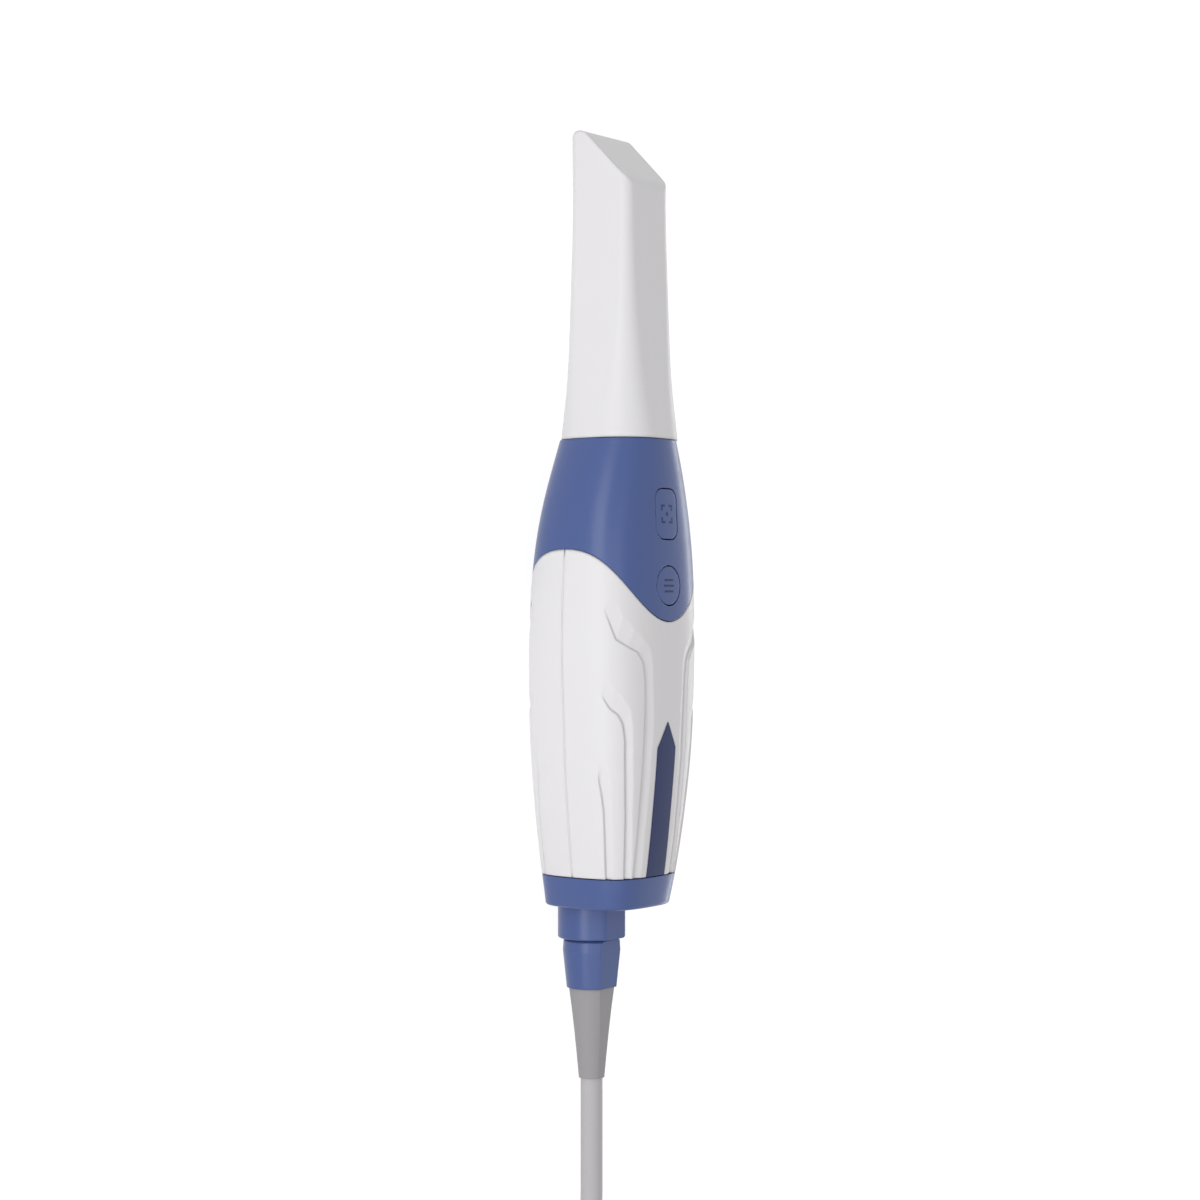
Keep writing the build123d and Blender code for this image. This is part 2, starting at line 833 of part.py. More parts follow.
# Chassis: a plate along the handle, an optics block at its front and standoffs for the board
post_stations = (*rear_post_stations, front_post_station)
chassis_places = [(station, side * post_half_spread)
                  for station in post_stations for side in (-1, 1)]
standoff_places = [(station, side * standoff_half_spread)
                   for station in standoff_stations for side in (-1, 1)]
with BuildPart() as chassis:
    with BuildSketch(Plane.XY.offset(plate_bottom)):
        with Locations((along((plate_rear_station + block_front_station) / 2), 0)):
            RectangleRounded(block_front_station - plate_rear_station, 2 * plate_half_width,
                             board_corner)
    extrude(amount=plate_thickness)
    with BuildSketch(Plane.XY.offset(plate_bottom)):
        with Locations((along(block_front_station - block_length / 2), 0)):
            Rectangle(block_length, 2 * block_half_width)
    extrude(amount=floor_drop + block_top - plate_bottom)
    fillet(chassis.edges().filter_by(Axis.X).sort_by(Axis.Z)[-2:], board_corner)
    with BuildSketch(Plane.XY.offset(plate_top)):
        for station, across in standoff_places:
            with Locations((along(station), across)):
                Circle(standoff_diameter / 2)
    extrude(amount=spreader_thickness)
    with BuildSketch(Plane.YZ.offset(along(block_front_station))):
        with Locations((0, floor_drop)):
            Circle(projector_bore / 2)
        with Locations((-camera_half_spread, floor_drop), (camera_half_spread, floor_drop)):
            Circle(camera_bore / 2)
    extrude(amount=-block_length, mode=Mode.SUBTRACT)
    for station, across in chassis_places + standoff_places:
        add(level_rod(screw_diameter, station, across, plate_bottom, board_top),
            mode=Mode.SUBTRACT)
chassis.part.label = "chassis"
export_step(chassis.part, "parts/chassis.step")

chassis_screws = screw_group(chassis_places, plate_top, -1)
chassis_screws.label = "chassis_screws"
export_step(chassis_screws, "parts/chassis_screws.step")

engine_front_station = block_rear_station - camera_board_thickness - running_clearance

# Projector: a light engine behind the block, with its lens barrel through the middle bore
with BuildPart() as projector:
    with BuildSketch(Plane.XY.offset(plate_top)):
        with Locations((along(engine_front_station - engine_length / 2), 0)):
            Rectangle(engine_length, engine_width)
    extrude(amount=engine_height)
    chamfer(projector.edges().filter_by(Axis.X), engine_edge)
    for fin in range(engine_fins):
        fin_station = engine_front_station - engine_length + (2 * fin + 1) * engine_fin_pitch
        with BuildSketch(Plane.YZ.offset(along(fin_station))):
            with Locations((0, plate_top + engine_height)):
                Rectangle(engine_width, 2 * engine_fin_depth)
        extrude(amount=engine_fin_pitch, mode=Mode.SUBTRACT)
    with BuildSketch(Plane.YZ.offset(along(engine_front_station))):
        with Locations((0, floor_drop)):
            Circle(projector_barrel / 2)
            Circle(projector_barrel / 2 - lens_wall, mode=Mode.SUBTRACT)
    extrude(amount=block_front_station + projector_reach - engine_front_station)
projector.part.label = "projector"
export_step(projector.part, "parts/projector.step")


def lens(station, across, diameter):
    """Glass lens with a domed front, set in the mouth of a barrel."""
    with BuildPart() as glass:
        with BuildSketch(Plane((along(station), across, floor_drop), z_dir=(0, -1, 0),
                               x_dir=(1, 0, 0))):
            with BuildLine():
                rim = lens_thickness / 2
                ThreePointArc((-rim, diameter / 2), (rim - lens_thickness - lens_bulge, 0),
                              (-rim, -diameter / 2))
                Line((-rim, -diameter / 2), (rim, -diameter / 2))
                ThreePointArc((rim, -diameter / 2), (rim + lens_bulge, 0), (rim, diameter / 2))
                Line((rim, diameter / 2), (-rim, diameter / 2))
            make_face()
            with Locations((0, -diameter / 2)):
                Rectangle(4 * diameter, diameter, mode=Mode.SUBTRACT)
        revolve(axis=Axis((along(station), across, floor_drop), (1, 0, 0)))
    return glass.part


projector_lens = lens(block_front_station + projector_reach - lens_setback, 0,
                      projector_barrel - 2 * lens_wall)
projector_lens.label = "projector_lens"
export_step(projector_lens, "parts/projector_lens.step")

# Cameras, one each side of the projector
for name, side in (("left", 1), ("right", -1)):
    across = side * camera_half_spread
    with BuildPart() as camera:
        with BuildSketch(Plane.YZ.offset(along(block_rear_station))):
            with Locations((across, floor_drop)):
                Rectangle(camera_board_width, camera_board_height)
        extrude(amount=-camera_board_thickness)
        with BuildSketch(Plane.YZ.offset(along(block_rear_station))):
            with Locations((across, floor_drop)):
                Circle(camera_barrel / 2)
        extrude(amount=block_length + camera_reach)
        with BuildSketch(Plane.YZ.offset(along(block_front_station + camera_reach))):
            with Locations((across, floor_drop)):
                Circle(camera_barrel / 2 - lens_wall)
        extrude(amount=-camera_mouth, mode=Mode.SUBTRACT)
    camera.part.label = name + "_camera"
    export_step(camera.part, f"parts/{name}_camera.step")
    camera_lens = lens(block_front_station + camera_reach - lens_setback, across,
                       camera_barrel - 2 * lens_wall)
    camera_lens.label = name + "_camera_lens"
    export_step(camera_lens, f"parts/{name}_camera_lens.step")

# Main board on the spreader and the standoffs
board_middle = (board_rear_station + board_front_station) / 2
with BuildPart() as main_board:
    with BuildSketch(Plane.XY.offset(board_bottom)):
        with Locations((along(board_middle), 0)):
            RectangleRounded(board_front_station - board_rear_station, 2 * board_half_width,
                             board_corner)
        for station, across in standoff_places:
            with Locations((along(station), across)):
                Circle(screw_diameter / 2, mode=Mode.SUBTRACT)
    extrude(amount=board_thickness)
main_board.part.label = "main_board"
export_step(main_board.part, "parts/main_board.step")

main_board_screws = screw_group(standoff_places, board_top, -1)
main_board_screws.label = "main_board_screws"
export_step(main_board_screws, "parts/main_board_screws.step")

with BuildPart() as heat_spreader:
    with BuildSketch(Plane.XY.offset(plate_top)):
        with Locations((along(board_middle), 0)):
            Rectangle(spreader_length, 2 * spreader_half_width)
    extrude(amount=spreader_thickness)
heat_spreader.part.label = "heat_spreader"
export_step(heat_spreader.part, "parts/heat_spreader.step")


def chip(station, across, length, width, height):
    """A block on the main board."""
    with BuildPart() as block:
        with BuildSketch(Plane.XY.offset(board_top)):
            with Locations((along(station), across)):
                Rectangle(length, width)
        extrude(amount=height)
        chamfer(block.faces().sort_by(Axis.Z)[-1].edges(), chip_edge)
    return block.part


processor = chip(board_middle, 0, chip_size, chip_size, chip_height)
processor.label = "processor"
export_step(processor, "parts/processor.step")

memory_station = board_middle + chip_size / 2 + small_chip_size
memory_chips = Compound(children=[chip(memory_station, side * memory_half_spread,
                                       small_chip_size, small_chip_size, chip_height / 2)
                                  for side in (-1, 1)])
memory_chips.label = "memory_chips"
export_step(memory_chips, "parts/memory_chips.step")

rear_connector_station = board_rear_station + connector_length
front_connector_station = board_front_station - connector_length
board_connectors = Compound(children=[chip(station, 0, connector_length, connector_width,
                                           connector_height)
                                      for station in (rear_connector_station,
                                                      front_connector_station)])
board_connectors.label = "board_connectors"
export_step(board_connectors, "parts/board_connectors.step")

with BuildPart() as haptic_motor:
    add(level_rod(motor_diameter, motor_station, 0, plate_bottom - motor_thickness, plate_bottom))
    fillet(haptic_motor.edges().sort_by(Axis.Z)[0], screw_head_edge)
haptic_motor.part.label = "haptic_motor"
export_step(haptic_motor.part, "parts/haptic_motor.step")


def ribbon(places):
    """Flat flexible cable along a side-view path with rounded bends."""
    with BuildPart() as strip:
        with BuildSketch(Plane.XZ.offset(-ribbon_width / 2)):
            with BuildLine() as route:
                FilletPolyline(*[(along(station), level) for station, level in places],
                               radius=ribbon_bend)
            trace(route.line, ribbon_thickness)
        extrude(amount=ribbon_width)
    return strip.part


connector_top = board_top + connector_height + ribbon_thickness / 2
board_under = button_board_bottom - ribbon_thickness / 2
board_rear_edge = button_board_front - button_board_length
ribbon_station = board_front_station + ribbon_bend
button_ribbon = ribbon([(board_rear_edge + ribbon_landing, board_under),
                        (ribbon_station, board_under), (ribbon_station, connector_top),
                        (front_connector_station, connector_top)])
button_ribbon.label = "button_ribbon"
export_step(button_ribbon, "parts/button_ribbon.step")

# Socket: a tube through the end cap with a flange inside, an insert and its pins
insert_front = cap_wall + socket_flange_length
insert_rear = insert_front - insert_length
with BuildPart() as socket_body:
    with BuildSketch(Plane.YZ.offset(along(cap_wall))):
        with Locations((0, cable_level)):
            Circle(socket_flange_radius)
    extrude(amount=socket_flange_length)
    add(lip_outer_form, mode=Mode.INTERSECT)
    with BuildSketch(Plane.YZ.offset(along(socket_lip - ring_length))):
        with Locations((0, cable_level)):
            Circle(socket_radius)
    extrude(amount=ring_length - socket_lip + cap_wall)
    with BuildSketch(Plane.YZ.offset(along(insert_front))):
        with Locations((0, cable_level)):
            Circle(socket_bore)
    extrude(amount=-overrun, mode=Mode.SUBTRACT)
socket_body.part.label = "socket_body"
export_step(socket_body.part, "parts/socket_body.step")


with BuildPart() as socket_insert:
    with BuildSketch(Plane.YZ.offset(along(insert_rear))):
        with Locations((0, cable_level)):
            Circle(socket_bore - fit_clearance)
            with PolarLocations(pin_circle / 2, pin_count):
                Circle(pin_diameter / 2, mode=Mode.SUBTRACT)
    extrude(amount=insert_length)
socket_insert.part.label = "socket_insert"
export_step(socket_insert.part, "parts/socket_insert.step")

with BuildPart() as socket_pins:
    with BuildSketch(Plane.YZ.offset(along(insert_rear - pin_length))):
        with Locations((0, cable_level)):
            with PolarLocations(pin_circle / 2, pin_count):
                Circle(pin_diameter / 2)
    extrude(amount=pin_length + insert_length)
socket_pins.part.label = "socket_pins"
export_step(socket_pins.part, "parts/socket_pins.step")

socket_ribbon = ribbon([(insert_front + ribbon_thickness, cable_level - ribbon_landing),
                        (insert_front + ribbon_thickness, cable_level),
                        (insert_front + 2 * ribbon_landing, cable_level),
                        (board_rear_station - ribbon_landing, connector_top),
                        (rear_connector_station, connector_top)])
socket_ribbon.label = "socket_ribbon"
export_step(socket_ribbon, "parts/socket_ribbon.step")


def flat_cut(places):
    """Side-view wedge that cuts the sloping flat along the top of the plug pieces."""
    top = cable_level + 2 * ring_radius
    with BuildPart() as wedge:
        with BuildSketch(Plane.XZ.offset(-overrun)):
            with BuildLine():
                Polyline(*[(along(station), cable_level + height) for station, height in places],
                         (along(places[-1][0]), top), (along(places[0][0]), top), close=True)
            make_face()
        extrude(amount=2 * overrun)
    return wedge.part


def turned(profile):
    """Solid turned about the cable's axis from pairs of station and radius."""
    with BuildPart() as solid:
        with BuildSketch(Plane.XZ):
            with BuildLine():
                Polyline((along(profile[0][0]), cable_level),
                         *[(along(station), cable_level + radius) for station, radius in profile],
                         (along(profile[-1][0]), cable_level), close=True)
            make_face()
        revolve(axis=Axis((0, 0, cable_level), (1, 0, 0)))
    return solid.part


# Ring nut on the socket, with a flat on the button side
with BuildPart() as socket_ring:
    add(turned([(-ring_length, ring_radius), (0, ring_radius)]))
    fillet(socket_ring.edges().sort_by(Axis.X)[0], ring_edge)
    add(flat_cut([(-ring_length - ring_edge, ring_flat), (ring_edge, ring_flat)]),
        mode=Mode.SUBTRACT)
    add(turned([(-ring_length, socket_radius + fit_clearance),
                (0, socket_radius + fit_clearance)]), mode=Mode.SUBTRACT)
socket_ring.part.label = "socket_ring"
export_step(socket_ring.part, "parts/socket_ring.step")

# Plug: a sleeve with a flat, and the nose that enters the socket
plug_front = -ring_length - plug_gap
plug_rear = plug_front - plug_length
boot_rear = plug_rear - boot_length
with BuildPart() as plug_shell:
    add(turned([(plug_rear, plug_end_radius),
                (plug_front - plug_swell_length, plug_swell_radius),
                (plug_front - plug_edge, plug_radius), (plug_front, plug_radius - plug_edge)]))
    add(flat_cut([(plug_rear - plug_edge, plug_end_flat), (plug_front + plug_edge, plug_flat)]),
        mode=Mode.SUBTRACT)
    add(turned([(plug_front, plug_nose_radius), (plug_front + plug_nose_length - plug_edge,
                                                 plug_nose_radius),
                (plug_front + plug_nose_length, plug_nose_radius - plug_edge)]))
    add(turned([(plug_front - plug_edge, plug_nose_bore),
                (plug_front + plug_nose_length, plug_nose_bore)]), mode=Mode.SUBTRACT)
plug_shell.part.label = "plug_shell"
export_step(plug_shell.part, "parts/plug_shell.step")

with BuildPart() as plug_insert:
    with BuildSketch(Plane.YZ.offset(along(plug_front - plug_edge))):
        with Locations((0, cable_level)):
            Circle(plug_nose_bore - fit_clearance)
    extrude(amount=plug_nose_length)
    with BuildSketch(Plane.YZ.offset(along(plug_front - plug_edge + plug_nose_length))):
        with Locations((0, cable_level)):
            with PolarLocations(pin_circle / 2, pin_count):
                Circle(pin_diameter / 2 + running_clearance)
    extrude(amount=-pin_length - insert_length / 2, mode=Mode.SUBTRACT)
plug_insert.part.label = "plug_insert"
export_step(plug_insert.part, "parts/plug_insert.step")

# Strain relief, tapering down to the cable, with the plug's flat carried on
with BuildPart() as strain_relief:
    taper = boot_radius - boot_end_radius
    add(turned([(plug_rear - share * boot_length, boot_radius - part * taper)
                for share, part in boot_shares]))
    add(flat_cut([(boot_rear - plug_edge, boot_end_flat), (plug_rear, boot_flat)]),
        mode=Mode.SUBTRACT)
strain_relief.part.label = "strain_relief"
export_step(strain_relief.part, "parts/strain_relief.step")

# Cable: straight out of the strain relief, down and aside to a tied hank, whose last turn
# climbs onto the hank, where the host plug lies under the tie
hank_half = hank_bend + hank_columns * cable_half
hank_turn = hank_half - cable_half
hank_bottom = tie_thickness
hank_top = hank_bottom + hank_layers * cable_diameter
hank_x = -244.0
touch = sqrt(hank_half ** 2 - hank_turn ** 2)
host_z = hank_top + host_grip_height / 2
lead_route = [
    (along(boot_rear), 0, cable_level),
    (-186.0, 0, cable_level),
    (-200.0, 5.0, 9.6),
    (-219.0, hank_turn, hank_bottom + cable_half),
    (hank_x + touch, hank_turn, hank_bottom + cable_half),
]
tail_route = [
    (-238.0, 15.4, 26.5),
    (-250.0, hank_turn, hank_top + cable_half),
    (-272.0, 0, host_z),
    (-284.0, 0, host_z),
]


def route_radii(route):
    """Largest arc at each corner that leaves part of both of its runs straight."""
    radii = []
    for before, corner, after in zip(route, route[1:], route[2:]):
        first, second = Vector(corner) - Vector(before), Vector(after) - Vector(corner)
        turn = radians(first.get_angle(second))
        radii.append(arc_share * min(first.length, second.length) / tan(turn / 2))
    return radii


# Hank: the cable's turns side by side and on top of each other
with BuildPart() as cable_hank:
    with BuildSketch(Plane.XY.offset(hank_bottom)):
        with Locations((hank_x - hank_run / 2, 0)):
            SlotCenterToCenter(hank_run, 2 * hank_half)
            SlotCenterToCenter(hank_run, 2 * hank_half - 2 * hank_columns * cable_diameter,
                               mode=Mode.SUBTRACT)
    extrude(amount=hank_layers * cable_diameter)
    fillet(cable_hank.edges().filter_by(GeomType.CIRCLE) + cable_hank.edges().filter_by(Axis.X),
           hank_edge)
cable_hank.part.label = "cable_hank"
export_step(cable_hank.part, "parts/cable_hank.step")


def cable_tube(name, route):
    """Tube of the cable along straight runs joined by tangent arcs, cut off at the hank."""
    radii = route_radii(route)
    with BuildPart() as tube:
        with BuildLine() as path:
            FilletPolyline(*route, radius=radii)
        start = Vector(route[0])
        with BuildSketch(Plane(start, z_dir=Vector(route[1]) - start)):
            Circle(cable_half)
        sweep()
        length = sum(edge.length for edge in path.edges())
        expected = pi * cable_half ** 2 * length
        print(name, "radii", [round(radius) for radius in radii], "length", round(length, 1),
              "volume share", round(tube.part.volume / expected, 4))
        add(cable_hank.part, mode=Mode.SUBTRACT)
    tube.part.label = name
    export_step(tube.part, f"parts/{name}.step")


cable_tube("cable_lead", lead_route)
cable_tube("cable_tail", tail_route)

# Host plug at the cable's far end: a moulded grip, a metal shell and its contact tongue
host_x, host_y, _ = tail_route[-1]
host_front = host_x - host_grip_length
with BuildPart() as host_plug_grip:
    with BuildSketch(Plane.YZ.offset(host_x)):
        with Locations((host_y, host_z)):
            RectangleRounded(host_neck_size, host_neck_size, host_grip_edge)
    with BuildSketch(Plane.YZ.offset(host_x - host_neck_length)):
        with Locations((host_y, host_z)):
            RectangleRounded(host_grip_width, host_grip_height, host_grip_edge)
    loft()
    with BuildSketch(Plane.YZ.offset(host_x - host_neck_length)):
        with Locations((host_y, host_z)):
            RectangleRounded(host_grip_width, host_grip_height, host_grip_edge)
    extrude(amount=host_neck_length - host_grip_length)
host_plug_grip.part.label = "host_plug_grip"
export_step(host_plug_grip.part, "parts/host_plug_grip.step")

# Tie: a band drawn tight round the hank and over the plug's grip
grip_half = host_grip_width / 2
tie_outline = [(-hank_half, hank_bottom), (hank_half, hank_bottom), (hank_half, hank_top),
               (grip_half, hank_top + host_grip_height), (-grip_half, hank_top + host_grip_height),
               (-hank_half, hank_top)]
tie_x = (host_x - host_neck_length + host_front) / 2
with BuildPart() as hank_tie:
    with BuildSketch(Plane.YZ.offset(tie_x - tie_width / 2)):
        Polygon(*tie_outline, align=None)
        offset(amount=tie_thickness)
        Polygon(*tie_outline, align=None, mode=Mode.SUBTRACT)
    extrude(amount=tie_width)
hank_tie.part.label = "hank_tie"
export_step(hank_tie.part, "parts/hank_tie.step")

with BuildPart() as host_plug_shell:
    with BuildSketch(Plane.YZ.offset(host_front)):
        with Locations((host_y, host_z)):
            Rectangle(host_shell_width, host_shell_height)
            Rectangle(host_shell_width - 2 * host_shell_wall,
                      host_shell_height - 2 * host_shell_wall, mode=Mode.SUBTRACT)
    extrude(amount=-host_shell_length)
host_plug_shell.part.label = "host_plug_shell"
export_step(host_plug_shell.part, "parts/host_plug_shell.step")

with BuildPart() as host_plug_tongue:
    tongue_level = host_z + host_shell_height / 2 - host_shell_wall - host_tongue_height / 2
    with BuildSketch(Plane.YZ.offset(host_front)):
        with Locations((host_y, tongue_level)):
            Rectangle(host_shell_width - 2 * host_shell_wall, host_tongue_height)
    extrude(amount=host_tongue_height - host_shell_length)
host_plug_tongue.part.label = "host_plug_tongue"
export_step(host_plug_tongue.part, "parts/host_plug_tongue.step")
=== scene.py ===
"""Dresses a packed intraoral scanner: finishes, button marks, the free cable and a photo studio.

The scanner lies on its belly with +X to the tip and +Z the button side. Lengths are metres.
"""

import json
from math import atan2, cos, pi, radians, sin

import bmesh
import bpy
from bpy.props import FloatProperty, FloatVectorProperty, IntProperty, PointerProperty
from bpy.types import Operator, Panel, PropertyGroup
from mathutils import Matrix, Vector
from mathutils.bvhtree import BVHTree

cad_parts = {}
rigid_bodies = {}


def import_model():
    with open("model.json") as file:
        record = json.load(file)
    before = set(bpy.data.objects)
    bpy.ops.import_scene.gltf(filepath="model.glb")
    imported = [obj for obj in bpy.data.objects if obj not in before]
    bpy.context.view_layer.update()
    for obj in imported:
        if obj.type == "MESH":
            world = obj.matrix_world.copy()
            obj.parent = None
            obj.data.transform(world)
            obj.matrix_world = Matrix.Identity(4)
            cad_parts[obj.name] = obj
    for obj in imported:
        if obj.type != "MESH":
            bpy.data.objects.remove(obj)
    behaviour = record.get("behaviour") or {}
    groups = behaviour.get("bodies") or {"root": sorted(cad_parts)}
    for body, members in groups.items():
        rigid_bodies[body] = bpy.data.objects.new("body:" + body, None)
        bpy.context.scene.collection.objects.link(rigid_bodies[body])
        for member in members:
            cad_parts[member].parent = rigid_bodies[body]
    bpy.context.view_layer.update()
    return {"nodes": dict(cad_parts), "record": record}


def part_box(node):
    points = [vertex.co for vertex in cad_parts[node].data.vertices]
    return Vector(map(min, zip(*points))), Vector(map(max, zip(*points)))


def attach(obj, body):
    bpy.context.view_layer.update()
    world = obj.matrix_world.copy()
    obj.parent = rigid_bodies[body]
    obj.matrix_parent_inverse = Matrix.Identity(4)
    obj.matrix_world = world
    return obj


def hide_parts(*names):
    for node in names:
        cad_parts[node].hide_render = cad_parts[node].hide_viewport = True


bl_info = {
    "name": "Intraoral scanner dressing",
    "version": (1, 0, 0),
    "blender": (4, 5, 0),
    "location": "3D View > Sidebar > Scanner",
    "description": "Finishes, button marks, cable and studio for an intraoral scanner",
    "category": "Object",
}

MM = 0.001
BLACK = (0.02, 0.02, 0.022)
MERGE_DISTANCE = 0.001 * MM
# How far outside the scanner a probe's ray starts
PROBE_START = 0.1
# How high the marks stand on a button, and how deep they reach into it
MARK_PROUD, MARK_SUNK = 0.03 * MM, 0.15 * MM
# Where the arc starts that rounds a corner of 45 or of 135 degrees, in radii from the corner
ACUTE_REACH = 2 ** 0.5 + 1
OBTUSE_REACH = 2 ** 0.5 - 1
# Each lamp's size, and its place from the point that it lights
LAMPS = {
    "key": ((0.9, 0.34), (0.05, 0.75, 0.17)),
    "fill": ((0.8, 0.8), (-0.1, 0.55, 0.7)),
    "rim": ((0.9, 0.1), (-0.05, -0.75, 0.07)),
}

for leftover in list(bpy.data.objects):
    bpy.data.objects.remove(leftover)
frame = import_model()

# The cable's route outside its hank, the same points as in the part's source, and one more on
# the long straight that the photograph shows
LEAD_ROUTE = [
    (-0.1476, 0, 0.012007),
    (-0.172, 0, 0.012007),
    (-0.186, 0, 0.012007),
    (-0.200, 0.005, 0.0096),
    (-0.219, 0.0165, 0.0042),
    (-0.233608, 0.0165, 0.0042),
]
TAIL_ROUTE = [
    (-0.238, 0.0154, 0.0265),
    (-0.250, 0.0165, 0.0282),
    (-0.272, 0, 0.02945),
    (-0.284, 0, 0.02945),
]
CABLE_DIAMETER = 6 * MM
hank_low, hank_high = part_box("cable_hank")
hank_layers = round((hank_high.z - hank_low.z) / CABLE_DIAMETER)


def colour_prop(name, description, default):
    """A colour that a user can change."""
    return FloatVectorProperty(name=name, description=description, subtype="COLOR", size=3,
                               min=0, max=1, default=default)


def length_prop(name, description, default):
    """A length in metres that a user can change."""
    return FloatProperty(name=name, description=description, subtype="DISTANCE", unit="LENGTH",
                         precision=5, min=0, default=default)


class ScannerFinishes(PropertyGroup):
    """Colours of the mouldings, the cable and the button marks, and the shells' gloss and edges;
    the marks' dark colour is painted shade.
    """

    white: colour_prop("White", "Tip and handle shells", (0.87, 0.86, 0.87))
    blue: colour_prop("Blue", "Front housing, end cap, buttons, ring and plug",
                      (0.060, 0.106, 0.305))
    navy: colour_prop("Navy", "Strip let into the upper shell", (0.016, 0.032, 0.125))
    grey: colour_prop("Grey", "Strain relief and the host plug's grip", (0.38, 0.37, 0.38))
    jacket: colour_prop("Jacket", "Cable", (0.55, 0.54, 0.55))
    # Mark is painted shade: the marks are the buttons' own blue, and this darker colour stands in
    # for the shade of their relief
    mark: colour_prop("Mark", "Print on the buttons", (0.016, 0.032, 0.13))
    gloss: FloatProperty(name="Shell roughness", description="Roughness of the shells",
                         subtype="FACTOR", min=0, max=1, default=0.36)
    edge: length_prop("Edge", "Radius that the tip's edges seem to have. Other edges take a part",
                      1.3 * MM)


class ScannerCable(PropertyGroup):
    """Sizes of the free cable and its hank."""

    diameter: length_prop("Diameter", "Outside diameter of the cable", CABLE_DIAMETER)
    run: length_prop("Run", "Straight part of the hank's turns",
                     hank_high.x - hank_low.x - 2 * hank_high.y)
    bend: length_prop("Bend", "Mean radius of the hank's ends", hank_high.y - CABLE_DIAMETER)
    layers: IntProperty(name="Layers", description="Layers of two turns each, an even number",
                        min=2, default=hank_layers)
    shift: length_prop("Shift", "Stretch in which a turn moves over or up by a diameter", 23 * MM)
    entry_room: length_prop("Entry room", "Free stretch beside the incoming cable", 8 * MM)
    rise: length_prop("Rise", "Stretch in which the last turn starts to climb", 26 * MM)


class ScannerNose(PropertyGroup):
    """Roundings of the tip's nose."""

    apex: length_prop("Apex", "Radius where the slanted face meets the belly", 3.8 * MM)
    brow: length_prop("Brow", "Radius where the slanted face meets the button side", 5.5 * MM)


class ScannerMarks(PropertyGroup):
    """Sizes of the marks on the two buttons."""

    stroke: length_prop("Stroke", "Width of a mark's strokes", 0.55 * MM)
    bracket_reach: length_prop("Bracket reach", "Half the focus brackets' side", 2.2 * MM)
    bracket_leg: length_prop("Bracket leg", "Length of a bracket's leg", 1.3 * MM)
    dot: length_prop("Dot", "Radius of the dot between the brackets", 0.55 * MM)
    bar_length: length_prop("Bar length", "Length of the bars on the round button", 4.6 * MM)
    bar_pitch: length_prop("Bar pitch", "Distance between those bars", 1.5 * MM)


class ScannerStudio(PropertyGroup):
    """Camera, lamps and backdrop."""

    lens: FloatProperty(name="Lens", description="Focal length on a 36 mm sensor, in mm",
                        unit="CAMERA", min=1, default=71.4)
    aim: FloatVectorProperty(name="Aim", description="Point in the middle of the picture",
                             subtype="TRANSLATION", default=(-0.0176, 0.003194, 0.017315))
    distance: length_prop("Distance", "From the aim point to the camera", 0.64324)
    lean: FloatProperty(name="Lean", description="Camera's turn from overhead to the side",
                        subtype="ANGLE", unit="ROTATION", default=radians(52.7))
    key: FloatProperty(name="Key lamp", description="Power of the lamp at the near side",
                       subtype="POWER", unit="POWER", min=0, default=2.15)
    fill: FloatProperty(name="Fill lamp", description="Power of the lamp beside the camera",
                        subtype="POWER", unit="POWER", min=0, default=1.5)
    rim: FloatProperty(name="Rim lamp", description="Power of the lamp behind the far side",
                       subtype="POWER", unit="POWER", min=0, default=1.3)
    ambient: FloatProperty(name="Ambient", description="Strength of the light from all round",
                           min=0, default=0.42)
    glow: FloatProperty(name="Floor glow", description="How bright the floor looks by itself",
                        min=0, default=1.17)
    backdrop: colour_prop("Backdrop", "Floor and background", (1.0, 1.0, 1.0))


class Wire:
    """A shader value. Arithmetic on it adds Math nodes."""

    def __init__(self, recipe, socket):
        self.recipe = recipe
        self.socket = socket

    def math(self, operation, *values):
        inputs = dict(enumerate(values))
        return self.recipe.node("ShaderNodeMath", inputs, operation=operation)

    def __add__(self, other):
        return self.math("ADD", self, other)

    def __radd__(self, other):
        return self.math("ADD", other, self)

    def __sub__(self, other):
        return self.math("SUBTRACT", self, other)

    def __rmul__(self, other):
        return self.math("MULTIPLY", other, self)

    def __getitem__(self, name):
        return Wire(self.recipe, self.socket.node.outputs[name])


